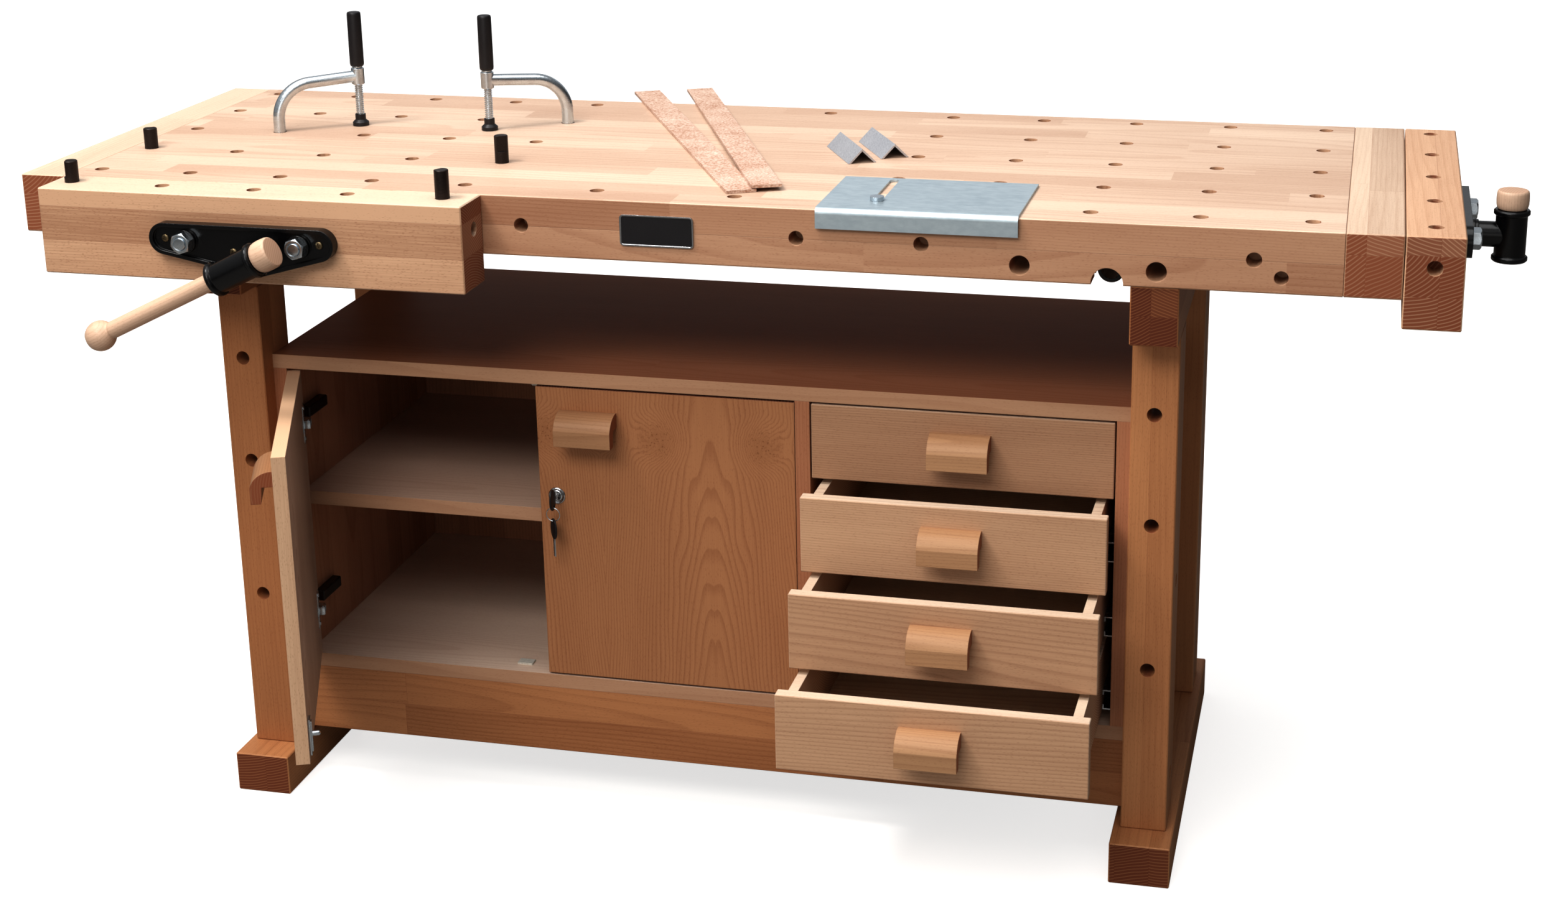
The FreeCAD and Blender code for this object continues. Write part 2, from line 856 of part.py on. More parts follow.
def flange_face():
    return -jaw_gap - jaw_thickness - flange_thickness


def make_flange():
    """The cast front plate: two lobes, a lower bulge round the spindle and a raised rim."""
    lobe_height = bench_height - lobe_drop
    discs = [(-lobe_spacing / 2, lobe_height, lobe_radius), (spindle_offset, spindle_height, vertex_radius),
             (lobe_spacing / 2, lobe_height, lobe_radius)]
    plate = hull_of_discs(discs, flange_thickness)
    pocket = hull_of_discs([(x, z, r - flange_rim) for x, z, r in discs], flange_pocket)
    plate = plate.cut(pocket)
    plate.translate(Y * flange_face())
    face = flange_face()
    bosses = [rod(Vector(x, face, guide_height), Y, nut_flats / 2 + 3, flange_thickness)
              for x in guide_places()]
    hub = rod(Vector(spindle_offset, face - hub_length + flange_pocket, spindle_height), Y, hub_radius,
              hub_length + flange_thickness - flange_pocket)
    plate = plate.fuse(bosses + [hub]).removeSplitter()
    through = jaw_thickness + 2 * hub_length
    cuts = [rod(Vector(x, face - hub_length, guide_height), Y, guide_stud_radius, through)
            for x in guide_places()]
    cuts.append(rod(Vector(spindle_offset, face - 2 * hub_length, spindle_height), Y,
                    spindle_radius + bush_play, through))
    return plate.cut(Part.makeCompound(cuts))


def hexagon(at, flats, height):
    radius = flats / math.sqrt(3)
    points = []
    for n in range(6):
        turn = math.radians(60 * n + 12)
        points.append(at + Vector(radius * math.cos(turn), 0, radius * math.sin(turn)))
    return prism(points, Y * height)


def make_guides(mount_start):
    """Guide rods with their studs and nuts, and the flange's wood screws."""
    pieces = []
    face = flange_face()
    reach = jaw_gap + mount_start + mount_thickness + vise_travel + guide_overrun
    for x in guide_places():
        shoulder = Vector(x, -jaw_gap, guide_height)
        stud = jaw_thickness + flange_thickness + nut_height + stud_end
        guide = rod(shoulder, Y, guide_radius, reach).fuse(rod(shoulder, -Y, guide_stud_radius, stud))
        pieces.append(guide.removeSplitter())
        nut = hexagon(Vector(x, face - nut_height, guide_height), nut_flats, nut_height)
        pieces.append(nut.cut(rod(Vector(x, face - nut_height - 1, guide_height), Y, guide_stud_radius,
                                  nut_height + 2)))
    lobe_height = bench_height - lobe_drop
    seat = face + flange_pocket
    for x, z in ((-lobe_spacing / 2, lobe_height), (lobe_spacing / 2, lobe_height),
                 (-spindle_offset / 2 - 3, spindle_height + 6)):
        pieces.append(rod(Vector(x, seat - wood_screw_head, z), Y, wood_screw_radius, wood_screw_head))
    return pieces


def make_screw(mount_start):
    """The cast T head with its sleeve for the bar, and the plain spindle behind it.

    The sleeve stands upright here; the front vise turns it to the bar's tilt.
    """
    face = flange_face() - hub_length + flange_pocket
    axis = Vector(spindle_offset, 0, spindle_height)
    centre = Vector(spindle_offset, flange_face() - sleeve_distance, spindle_height)
    half = sleeve_length / 2
    sleeve = rod(centre - Z * half, Z, sleeve_radius, sleeve_length)
    rings = []
    for low in (centre.z - half, centre.z + half - sleeve_ring_length):
        ring = rod(Vector(centre.x, centre.y, low), Z, sleeve_ring_radius, sleeve_ring_length)
        rings.append(ring.makeChamfer(2.0, [e for e in ring.Edges if e.Closed]))
    neck_end = face - rest_gap
    neck = rod(centre, Y, neck_radius, neck_end - centre.y)
    collar = rod(Vector(axis.x, neck_end - collar_length, axis.z), Y, collar_radius, collar_length)
    head = sleeve.fuse(rings + [neck, collar]).removeSplitter()
    head = head.cut(rod(centre - Z * sleeve_length, Z, bar_radius + bar_play, 2 * sleeve_length))
    spindle_end = mount_start + mount_thickness + vise_travel + spindle_overrun
    spindle = rod(Vector(axis.x, neck_end, axis.z), Y, spindle_radius, spindle_end - neck_end)
    return head, spindle


def knob_profile():
    """Half section of the turned knob, from its seat on the sleeve to its outer end."""
    arc = [(knob_radius - knob_round * (1 - math.cos(a)), knob_length - knob_round * (1 - math.sin(a)))
           for a in [math.radians(d) for d in (0, 22.5, 45, 67.5, 90)]]
    return [(0, 0), (knob_radius - 3, 0), (knob_radius, 6)] + arc + [(0, knob_length)]


def make_front_bar():
    """The beech bar, pushed down so that its top knob rests on the sleeve, and its ball end."""
    centre = Vector(spindle_offset, flange_face() - sleeve_distance, spindle_height)
    top_seat = sleeve_length / 2 + rest_gap
    knob = revolved(knob_profile(), centre + Z * top_seat, Z)
    bar_end = ball_distance - ball_flat + 2
    bar = rod(centre - Z * bar_end, Z, bar_radius, bar_end + top_seat)
    widest = math.asin(ball_flat / ball_radius)
    turns = [widest * (2 * n / ball_facets - 1) for n in range(ball_facets + 1)]
    curve = [(ball_radius * math.cos(a), ball_radius * math.sin(a)) for a in turns]
    ball = revolved([(0, -ball_flat)] + curve + [(0, ball_flat)], centre - Z * ball_distance, Z)
    return bar.fuse([ball, knob]).removeSplitter()


def make_end_bar():
    """The end vise's short bar: a knob above, and a bar that ends inside the sleeve."""
    centre = Vector(spindle_offset, flange_face() - sleeve_distance, spindle_height)
    top_seat = sleeve_length / 2 + rest_gap
    knob = revolved(knob_profile(), centre + Z * top_seat, Z)
    bar = rod(centre + Z * (top_seat - end_bar_length), Z, bar_radius, end_bar_length)
    return bar.fuse(knob).removeSplitter()


def make_mount(start):
    """Cast bracket under the slab: a bar with two guide bushes and the spindle's nut."""
    half = guide_spacing / 2 + mount_margin
    bar = box(-half, start, slab_bottom - mount_bar_height, half, start + mount_thickness, slab_bottom)
    boss = rod(Vector(spindle_offset, start, spindle_height), Y, mount_boss_radius, mount_thickness)
    bracket = bar.fuse(boss).removeSplitter()
    cuts = [rod(Vector(x, start - 1, guide_height), Y, guide_radius + bush_play, mount_thickness + 2)
            for x in guide_places()]
    cuts.append(rod(Vector(spindle_offset, start - 1, spindle_height), Y, spindle_radius + bush_play,
                    mount_thickness + 2))
    return bracket.cut(Part.makeCompound(cuts))


def jaw_passages():
    """What the vise's own rods need through the jaw."""
    start = flange_face() - 1
    length = jaw_thickness + flange_thickness + 3
    cuts = [rod(Vector(x, start, guide_height), Y, guide_stud_radius + stud_play, length)
            for x in guide_places()]
    cuts.append(rod(Vector(spindle_offset, start, spindle_height), Y, spindle_radius + stud_play, length))
    return cuts


def at_front(shape):
    placed = shape.copy()
    placed.translate(X * front_vise_centre)
    return placed


def at_end(shape):
    """The same set on the right-hand end: -Y turns to +X, and +X turns to +Y."""
    placed = shape.copy()
    placed.rotate(Vector(0, 0, 0), Z, 90)
    placed.translate(Vector(cap_end, end_vise_centre, 0))
    return placed


def tilted(shape):
    """Turn the front vise's head and bar about the spindle, to where the bar hangs."""
    turned = shape.copy()
    turned.rotate(Vector(spindle_offset, 0, spindle_height), Y, 90 - front_bar_tilt)
    return turned


def make_front_jaw():
    low = bench_height - jaw_height
    rear = -jaw_gap
    jaw = eased(box(front_jaw_start, rear - jaw_thickness, low, front_jaw_start + front_jaw_length, rear,
                    bench_height))
    cuts = [at_front(cut) for cut in jaw_passages()]
    cuts += [upright_hole(x, front_dog_row, low, bench_height) for x in left_columns]
    side = Vector(front_jaw_start + front_jaw_length + 1, front_dog_row, face_hole_height)
    cuts.append(rod(side, -X, hole_radius, front_end_hole_depth + 1))
    return drilled(jaw, cuts)


def make_end_jaw():
    low = bench_height - jaw_height
    start = cap_end + jaw_gap
    jaw = eased(box(start, 0, low, start + jaw_thickness, top_depth, bench_height))
    middle = start + jaw_thickness / 2
    cuts = [at_end(cut) for cut in jaw_passages()]
    cuts += [upright_hole(middle, y, low, bench_height) for y in rows]
    cuts.append(rod(Vector(middle, -1, face_hole_height), Y, hole_radius, end_jaw_hole_depth + 1))
    return drilled(jaw, cuts)


# ---- dogs, hold-downs and loose pieces ------------------------------------------------------

def make_dog(x, y, proud, turn):
    """A round steel dog with a flat on its head, standing this far out of the worktop."""
    radius = hole_radius - dog_play
    top = bench_height + proud
    base = Vector(x, y, top - dog_length)
    dog = rod(base, Z, radius, dog_length)
    dog = dog.makeChamfer(dog_chamfer, [e for e in dog.Edges if e.Closed])
    side = box(x + radius - dog_flat_depth, y - radius, top - dog_flat_height, x + radius + 1, y + radius,
               top + 1)
    side.rotate(base, Z, turn)
    return dog.cut(side)


def holddown_frame(side):
    column, row, heading = holddown_places[side]
    return Vector(left_columns[column], rows[row], bench_height), heading


def place_holddown(shape, side):
    at, heading = holddown_frame(side)
    placed = shape.copy()
    placed.rotate(Vector(0, 0, 0), Z, heading)
    placed.translate(at)
    return placed


def make_arm():
    """A bent tube with a screw boss at its end, drawn with its post on the Z axis."""
    corner = Vector(0, 0, arm_corner_height)
    tip = Vector(arm_reach, 0, arm_head_height)
    along = (tip - corner).normalize()
    turn = math.acos(along.dot(Z))
    setback = arm_bend_radius * math.tan(turn / 2)
    bend_start = corner - Z * setback
    bend_end = corner + along * setback
    centre = bend_start + X * arm_bend_radius
    middle = centre + (corner - centre).normalize() * arm_bend_radius
    foot = Vector(0, 0, -tube_below)
    path = Part.Wire([Part.makeLine(foot, bend_start), Part.Arc(bend_start, middle, bend_end).toShape(),
                      Part.makeLine(bend_end, tip)])
    section = Part.Wire(Part.Circle(foot, Z, tube_radius).toShape())
    tube = path.makePipeShell([section], True, True)
    boss = rod(Vector(arm_reach, 0, arm_head_height - arm_head_length / 2), Z, arm_head_radius,
               arm_head_length)
    bore = rod(Vector(arm_reach, 0, arm_head_height - arm_head_length), Z,
               clamp_screw_radius + clamp_screw_play, 2 * arm_head_length)
    return tube.fuse(boss).removeSplitter().cut(bore)


def make_pad():
    socket = clamp_screw_radius + rest_gap
    floor = pad_height - pad_socket_depth
    profile = [(0, 0), (pad_radius, 0), (pad_radius, pad_rim), (pad_neck_radius, floor),
               (pad_neck_radius, pad_height), (socket, pad_height), (socket, floor), (0, floor)]
    return revolved(profile, Vector(arm_reach, 0, rest_gap), Z)


def make_clamp_screw():
    """The screw rod and, on its top, the grip."""
    low = rest_gap + pad_height - pad_socket_depth + rest_gap
    screw = rod(Vector(arm_reach, 0, low), Z, clamp_screw_radius, grip_bottom - low)
    grip = rod(Vector(arm_reach, 0, grip_bottom), Z, grip_radius, grip_length)
    grip = grip.makeChamfer(grip_round, [e for e in grip.Edges if e.Closed])
    return screw, grip


def make_stop_plate():
    """A steel plate on the worktop with a bent lip over the front edge and a long slot."""
    low = bench_height + rest_gap
    high = low + stop_thickness
    inner_face = -stop_standoff
    front = inner_face - stop_thickness
    outline = box(stop_left, front, high - stop_lip - stop_thickness, stop_left + stop_width, stop_depth,
                  high)
    bend = [e for e in outline.Edges if abs(e.tangentAt(e.FirstParameter).x) > 0.9
            and abs(e.CenterOfMass.y - front) < 0.01 and abs(e.CenterOfMass.z - high) < 0.01]
    outline = outline.makeFillet(stop_bend_radius, bend)
    inside = box(stop_left - 1, inner_face, low - 2 * stop_lip, stop_left + stop_width + 1, stop_depth + 1,
                 low)
    edge = [e for e in inside.Edges if abs(e.tangentAt(e.FirstParameter).x) > 0.9
            and abs(e.CenterOfMass.y - inner_face) < 0.01 and abs(e.CenterOfMass.z - low) < 0.01]
    inside = inside.makeFillet(stop_bend_radius - stop_thickness, edge)
    half = stop_slot_width / 2
    centre = right_columns[0]
    slot = box(centre - half, stop_slot_start + half, low - 1, centre + half, stop_slot_end - half, high + 1)
    ends = [rod(Vector(centre, y, low - 1), Z, half, stop_thickness + 2)
            for y in (stop_slot_start + half, stop_slot_end - half)]
    return outline.cut(inside).cut(slot.fuse(ends))


def make_angle(side):
    """An aluminium angle lying like a roof; its ridge runs back and to the left."""
    leg = angle_leg / math.sqrt(2)
    wall = angle_wall * math.sqrt(2)
    points = [Vector(-leg, 0, 0), Vector(0, 0, leg), Vector(leg, 0, 0), Vector(leg - wall, 0, 0),
              Vector(0, 0, leg - wall), Vector(wall - leg, 0, 0)]
    roof = prism(points, Y * angle_length)
    roof.rotate(Vector(0, 0, 0), Z, angle_turn)
    x, y = angle_places[side]
    roof.translate(Vector(x, y, bench_height + rest_gap))
    return roof


def make_strip(side):
    """A cork strip laid across the worktop; the right one lies over the left one's near end."""
    (x, y), heading = strip_ends[side]
    strip = box(0, -strip_width / 2, 0, strip_length, strip_width / 2, strip_thickness)
    lift = rest_gap
    if side == "right":
        strip.rotate(Vector(0, 0, 0), Y, strip_tilt)
        lift += strip_lift
    strip.rotate(Vector(0, 0, 0), Z, heading)
    strip.translate(Vector(x, y, bench_height + lift))
    return strip


# ---- write every node -----------------------------------------------------------------------

def main():
    os.makedirs("parts", exist_ok=True)
    save("worktop", make_worktop())
    save("front_apron", make_front_apron())
    save("rear_apron", make_rear_apron())
    save("end_caps", *make_end_caps())
    save("nameplate", make_badge())
    save("feet", *make_feet())
    save("posts", *make_posts())
    save("bearers", *make_bearers())
    save("stretchers", *make_stretchers())
    save("bench_bolts", *make_bolts())
    save("cabinet_top", make_cabinet_top())
    save("cabinet_bottom", make_cabinet_bottom())
    save("cabinet_uprights", *make_uprights())
    save("cabinet_back", make_back())
    save("cabinet_shelf", make_shelf())
    save("drawer_runners", *make_runners())
    save("hinge_arms", *make_hinge_arms())
    save("door_catches", *make_catches())
    save("vise_mounts", at_front(make_mount(front_apron_thickness)), at_end(make_mount(right_cap_width)))

    save("left_door", make_left_door())
    save("left_door_handle", make_left_door_handle())
    save("left_door_fittings", *make_left_door_fittings())
    save("right_door", make_right_door())
    save("right_door_handle", make_right_door_handle())
    save("right_door_fittings", *make_right_door_fittings())
    save("lock_key", make_lock_key())
    save("spare_key", *make_spare_key())
    for n in range(drawer_count):
        save("drawer_%d" % (n + 1), *make_drawer(n))
        save("drawer_%d_handle" % (n + 1), make_drawer_handle(n))

    save("front_jaw", make_front_jaw())
    save("front_vise_plate", at_front(make_flange()))
    save("front_vise_guides", *[at_front(piece) for piece in make_guides(front_apron_thickness)])
    save("front_vise_screw", *[at_front(tilted(piece)) for piece in make_screw(front_apron_thickness)])
    save("front_vise_bar", at_front(tilted(make_front_bar())))
    save("end_jaw", make_end_jaw())
    save("end_vise_plate", at_end(make_flange()))
    save("end_vise_guides", *[at_end(piece) for piece in make_guides(right_cap_width)])
    save("end_vise_screw", *[at_end(piece) for piece in make_screw(right_cap_width)])
    save("end_vise_bar", at_end(make_end_bar()))

    save("front_left_dog", make_dog(left_columns[0], front_dog_row, left_dog_proud, dog_turns[0]))
    save("front_right_dog", make_dog(left_columns[-1], front_dog_row, right_dog_proud, dog_turns[1]))
    save("back_left_dog", make_dog(left_columns[0], rows[1], left_dog_proud, dog_turns[2]))
    save("back_right_dog", make_dog(left_columns[-1], rows[1], right_dog_proud, dog_turns[3]))
    for side in holddown_places:
        save(side + "_holddown_arm", place_holddown(make_arm(), side))
        save(side + "_holddown_pad", place_holddown(make_pad(), side))
        save(side + "_holddown_screw", *[place_holddown(piece, side) for piece in make_clamp_screw()])
    save("stop_plate", make_stop_plate())
    for side in ("left", "right"):
        save(side + "_angle", make_angle(side))
        save(side + "_cork_strip", make_strip(side))


main()
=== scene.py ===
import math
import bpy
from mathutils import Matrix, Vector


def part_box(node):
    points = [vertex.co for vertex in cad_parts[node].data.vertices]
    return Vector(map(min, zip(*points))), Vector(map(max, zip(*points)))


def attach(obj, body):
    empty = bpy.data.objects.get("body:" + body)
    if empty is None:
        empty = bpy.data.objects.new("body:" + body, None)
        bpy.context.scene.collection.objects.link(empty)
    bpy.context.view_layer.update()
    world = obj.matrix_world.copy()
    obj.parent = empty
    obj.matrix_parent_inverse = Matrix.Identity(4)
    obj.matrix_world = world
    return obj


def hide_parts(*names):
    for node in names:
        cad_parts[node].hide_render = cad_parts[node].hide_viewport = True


bl_info = {
    "name": "Joiner's Bench",
    "version": (1, 0, 0),
    "blender": (4, 5, 0),
    "location": "View3D > Sidebar > Bench",
    "description": "Finishes a joiner's bench: timber, castings, fittings, light and camera",
    "category": "Object",
}

import bmesh
import bpy
from bpy.props import FloatProperty, FloatVectorProperty, IntProperty, PointerProperty
from bpy.types import Operator, Panel, PropertyGroup
from mathutils import Matrix, Vector

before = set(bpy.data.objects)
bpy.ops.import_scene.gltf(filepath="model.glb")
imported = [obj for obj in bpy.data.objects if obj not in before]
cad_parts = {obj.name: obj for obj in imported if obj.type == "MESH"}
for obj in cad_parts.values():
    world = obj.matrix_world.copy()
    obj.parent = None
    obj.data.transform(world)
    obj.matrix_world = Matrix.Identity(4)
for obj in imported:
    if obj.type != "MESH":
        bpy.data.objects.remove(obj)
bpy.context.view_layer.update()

# Places below are millimetres from the left end cap's outer face, the front edge and the floor.
ZERO = Vector((0.280, 0.302, 0.0))


def at(x, y, z):
    """A place on the bench in millimetres, as a point of the frame in metres."""
    return Vector((x, y, z)) / 1000 - ZERO


def linear(colour):
    """An sRGB hex colour as linear red, green, blue and alpha."""
    parts = [int(colour[n:n + 2], 16) / 255 for n in (1, 3, 5)]
    return tuple(c / 12.92 if c <= 0.04045 else ((c + 0.055) / 1.055) ** 2.4 for c in parts) + (1.0,)


# ---- settings that a user would change ------------------------------------------------------

def colour_setting(label, note, colour):
    return FloatVectorProperty(name=label, description=note, subtype="COLOR", size=4, min=0, max=1,
                               default=linear(colour))


class BenchColours(PropertyGroup):
    """The finishes' main colours."""
    # worktop and front are one beech painted two ways: worktop is a painted lit copy, paler and greyer, for
    # faces that look up; front is a painted shaded copy, darker and redder, mostly for faces that stand upright.
    worktop: colour_setting("Worktop", "Oiled beech of the slab, caps and jaws' tops", "#e0cbb6")
    front: colour_setting("Front edge", "Beech of the aprons and the jaws", "#cfa98b")
    stand: colour_setting("Stand", "Steamed beech of feet, posts and rails", "#c08a60")
    # board is darker and redder than the boards' beech: painted shade for the cabinet standing under the
    # worktop.
    board: colour_setting("Boards", "Beech boards of the cabinet", "#ce9976")
    veneer: colour_setting("Doors", "Beech veneer of both doors", "#bc8b63")
    drawer: colour_setting("Drawers", "Beech of the drawers", "#c8a385")
    inside: colour_setting("Inside", "Paler boards inside the cabinet", "#e2cbb8")
    end: colour_setting("End grain", "Oiled end grain of the thick timber", "#a3674a")
    bar: colour_setting("Bars", "White beech of the turned bars", "#d4b69f")
    # pull is darker than the pulls' light beech: painted shade, taken from the pulls' rounded undersides.
    pull: colour_setting("Pulls", "Light beech of the handles", "#b8916f")
    iron: colour_setting("Cast iron", "Powder-coated castings of both vises", "#08080a")
    dog: colour_setting("Dogs", "Blackened steel of dogs and hinge arms", "#221a18")
    zinc: colour_setting("Zinc", "Plated steel of arms, rods and latch", "#d4dde4")
    steel: colour_setting("Steel", "Ground steel of the stop plate", "#c6d2d8")
    aluminium: colour_setting("Aluminium", "Mill-finished angles", "#d3d4d8")
    cork: colour_setting("Cork", "Strips laid on the worktop", "#dcc8ba")
    plastic: colour_setting("Plastic", "Grips, pads and key bows", "#121013")
    brass: colour_setting("Brass", "Wood screws in the vise plates", "#8c7f68")


class BenchSizes(PropertyGroup):
    """The sizes of the fittings that are made here."""
    thread_pitch: FloatProperty(name="Thread pitch", description="Rise of the hold-down screws in a turn",
                                default=0.003, min=0.002, max=0.006, unit="LENGTH")
    badge_rim: FloatProperty(name="Badge rim", description="Width of the badge's bright rim",
                             default=0.0018, min=0.001, max=0.006, unit="LENGTH")
    turned_sides: IntProperty(name="Turned sides", description="Facets round knobs, balls and rods",
                              default=48, min=16, max=96)


# ---- nodes ----------------------------------------------------------------------------------

def fill(node, sockets):
    """Gives a node's inputs their values, or links them where a value is another node's output."""
    for name, value in sockets.items():
        if isinstance(value, bpy.types.NodeSocket):
            node.id_data.links.new(value, node.inputs[name])
        else:
            node.inputs[name].default_value = value
    return node


def add(tree, kind, sockets, out=0, **settings):
    """Adds a shader node with its settings and sockets, and returns one output, or the node for None."""
    node = tree.nodes.new("ShaderNode" + kind)
    for name, value in settings.items():
        setattr(node, name, value)
    fill(node, sockets)
    return node if out is None else node.outputs[out]


def new_material(name):
    """A material with a Principled shader; returns the material, its tree and that shader."""
    material = bpy.data.materials.new(name)
    material.use_nodes = True
    tree = material.node_tree
    return material, tree, tree.nodes["Principled BSDF"]


def beech_pattern():
    """The pattern of laminated beech, shared by every timber part.

    Place is in millimetres, x along the grain, y across a stave and z through it. Pith is where the
    tree's centre lies across and below a stave, and how far that varies by chance. Rings holds their
    spacing, their darkness and how much they climb along the grain.
    """
    group = bpy.data.node_groups.new("laminated beech", "ShaderNodeTree")
    for name, kind in (("Place", "Vector"), ("Facing", "Vector"), ("Stave", "Vector"), ("Pith", "Vector"),
                       ("Rings", "Vector"), ("Pale", "Color"), ("Dark", "Color"), ("End", "Color"),
                       ("Contrast", "Float"), ("Swirl", "Float")):
        group.interface.new_socket(name=name, in_out="INPUT", socket_type="NodeSocket" + kind)
    for name, kind in (("Colour", "Color"), ("Sheen", "Float"), ("Height", "Float")):
        group.interface.new_socket(name=name, in_out="OUTPUT", socket_type="NodeSocket" + kind)
    given = group.nodes.new("NodeGroupInput").outputs
    result = group.nodes.new("NodeGroupOutput")
    place = add(group, "SeparateXYZ", {0: given["Place"]}, None).outputs
    size = add(group, "SeparateXYZ", {0: given["Stave"]}, None).outputs
    pith = add(group, "SeparateXYZ", {0: given["Pith"]}, None).outputs
    rings = add(group, "SeparateXYZ", {0: given["Rings"]}, None).outputs
    # which stave, and how far into it
    across = add(group, "Math", {0: place["Y"], 1: size["Y"]}, operation="DIVIDE")
    through = add(group, "Math", {0: place["Z"], 1: size["Z"]}, operation="DIVIDE")
    row = add(group, "Math", {0: across}, operation="FLOOR")
    layer = add(group, "Math", {0: through}, operation="FLOOR")
    pair = add(group, "CombineXYZ", {0: row, 1: layer, 2: 7.0})
    stagger = add(group, "TexWhiteNoise", {0: pair}, noise_dimensions="3D")
    lengths = add(group, "Math", {0: place["X"], 1: size["X"]}, operation="DIVIDE")
    along = add(group, "Math", {0: stagger, 1: 7.3, 2: lengths}, operation="MULTIPLY_ADD")
    number = add(group, "Math", {0: along}, operation="FLOOR")
    triple = add(group, "CombineXYZ", {0: row, 1: layer, 2: number})
    chance = add(group, "TexWhiteNoise", {0: triple}, None, noise_dimensions="3D").outputs
    luck = add(group, "SeparateColor", {0: chance["Color"]}, None).outputs
    # growth rings round a pith that lies beside and below each block
    share = add(group, "Math", {0: across}, operation="FRACT")
    inwards = add(group, "Math", {0: share, 1: size["Y"]}, operation="MULTIPLY")
    strayed = add(group, "Math", {0: luck[0], 1: 190.0, 2: -95.0}, operation="MULTIPLY_ADD")
    centre = add(group, "Math", {0: strayed, 1: pith["Z"], 2: pith["X"]}, operation="MULTIPLY_ADD")
    side = add(group, "Math", {0: inwards, 1: centre}, operation="SUBTRACT")
    share = add(group, "Math", {0: through}, operation="FRACT")
    upwards = add(group, "Math", {0: share, 1: size["Z"]}, operation="MULTIPLY")
    sunk = add(group, "Math", {0: luck[1], 1: -110.0}, operation="MULTIPLY")
    below = add(group, "Math", {0: sunk, 1: pith["Z"], 2: pith["Y"]}, operation="MULTIPLY_ADD")
    depth = add(group, "Math", {0: upwards, 1: below}, operation="SUBTRACT")
    squared = add(group, "Math", {0: depth, 1: depth}, operation="MULTIPLY")
    squared = add(group, "Math", {0: side, 1: side, 2: squared}, operation="MULTIPLY_ADD")
    radius = add(group, "Math", {0: squared}, operation="SQRT")
    wavy = add(group, "VectorMath", {0: given["Place"], 1: (0.0018, 0.011, 0.011)}, operation="MULTIPLY")
    wander = add(group, "TexNoise", {"Vector": wavy, "W": chance["Value"], "Scale": 1.0, "Detail": 2.0,
                                     "Roughness": 0.45}, noise_dimensions="4D")
    lean = add(group, "Math", {0: luck[2], 1: 0.5}, operation="SUBTRACT")
    varied = add(group, "Math", {0: pith["Z"], 1: 0.035}, operation="MULTIPLY")
    slope = add(group, "Math", {0: lean, 1: varied, 2: rings["Z"]}, operation="MULTIPLY_ADD")
    climb = add(group, "Math", {0: place["X"], 1: slope}, operation="MULTIPLY")
    grown = add(group, "Math", {0: wander, 1: 16.0, 2: radius}, operation="MULTIPLY_ADD")
    grown = add(group, "Math", {0: grown, 1: climb}, operation="ADD")
    grown = add(group, "Math", {0: grown, 1: given["Swirl"]}, operation="ADD")
    age = add(group, "Math", {0: grown, 1: rings["X"]}, operation="DIVIDE")
    season = add(group, "Math", {0: age}, operation="FRACT")
    late = add(group, "MapRange", {0: season, 1: 0.45, 2: 0.93, 3: 0.0, 4: 1.0},
               interpolation_type="SMOOTHSTEP")
    spring = add(group, "MapRange", {0: season, 1: 0.93, 2: 1.0, 3: 1.0, 4: 0.0},
                 interpolation_type="SMOOTHSTEP")
    ring = add(group, "Math", {0: late, 1: spring}, operation="MULTIPLY")
    # fibres, drawn out along the grain, and a slow change of tone
    thin = add(group, "VectorMath", {0: given["Place"], 1: (0.012, 0.85, 0.85)}, operation="MULTIPLY")
    fibre = add(group, "TexNoise", {"Vector": thin, "Scale": 1.0, "Detail": 4.0, "Roughness": 0.65})
    broad = add(group, "VectorMath", {0: given["Place"], 1: (0.0022, 0.016, 0.016)}, operation="MULTIPLY")
    cloud = add(group, "TexNoise", {"Vector": broad, "Scale": 1.0, "Detail": 3.0, "Roughness": 0.5})
    # ray flecks, about 3 mm long and 0.7 mm wide
    short = add(group, "VectorMath", {0: given["Place"], 1: (0.14, 0.62, 0.62)}, operation="MULTIPLY")
    cells = add(group, "TexVoronoi", {"Vector": short, "Scale": 1.0})
    fleck = add(group, "MapRange", {0: cells, 1: 0.14, 2: 0.30, 3: 1.0, 4: 0.0})
    # end grain shows where the face looks along the fibres
    facing = add(group, "SeparateXYZ", {0: given["Facing"]})
    squareness = add(group, "Math", {0: facing}, operation="ABSOLUTE")
    end = add(group, "MapRange", {0: squareness, 1: 0.75, 2: 0.95, 3: 0.0, 4: 1.0})
    # tone from pale (0) to dark (1)
    tone = add(group, "Math", {0: chance["Value"], 1: 0.62}, operation="MULTIPLY")
    for pattern, middle, weight in ((cloud, 0.5, 0.7), (fibre, 0.5, 0.75), (ring, 0.0, rings["Y"]),
                                    (fleck, 0.0, 0.34)):
        change = add(group, "Math", {0: pattern, 1: middle}, operation="SUBTRACT")
        tone = add(group, "Math", {0: change, 1: weight, 2: tone}, operation="MULTIPLY_ADD")
    tone = add(group, "Math", {0: tone, 1: 0.42}, operation="SUBTRACT")
    tone = add(group, "Math", {0: tone, 1: given["Contrast"], 2: 0.40}, operation="MULTIPLY_ADD",
               use_clamp=True)
    wood = add(group, "Mix", {0: tone, 6: given["Pale"], 7: given["Dark"]}, 2, data_type="RGBA")
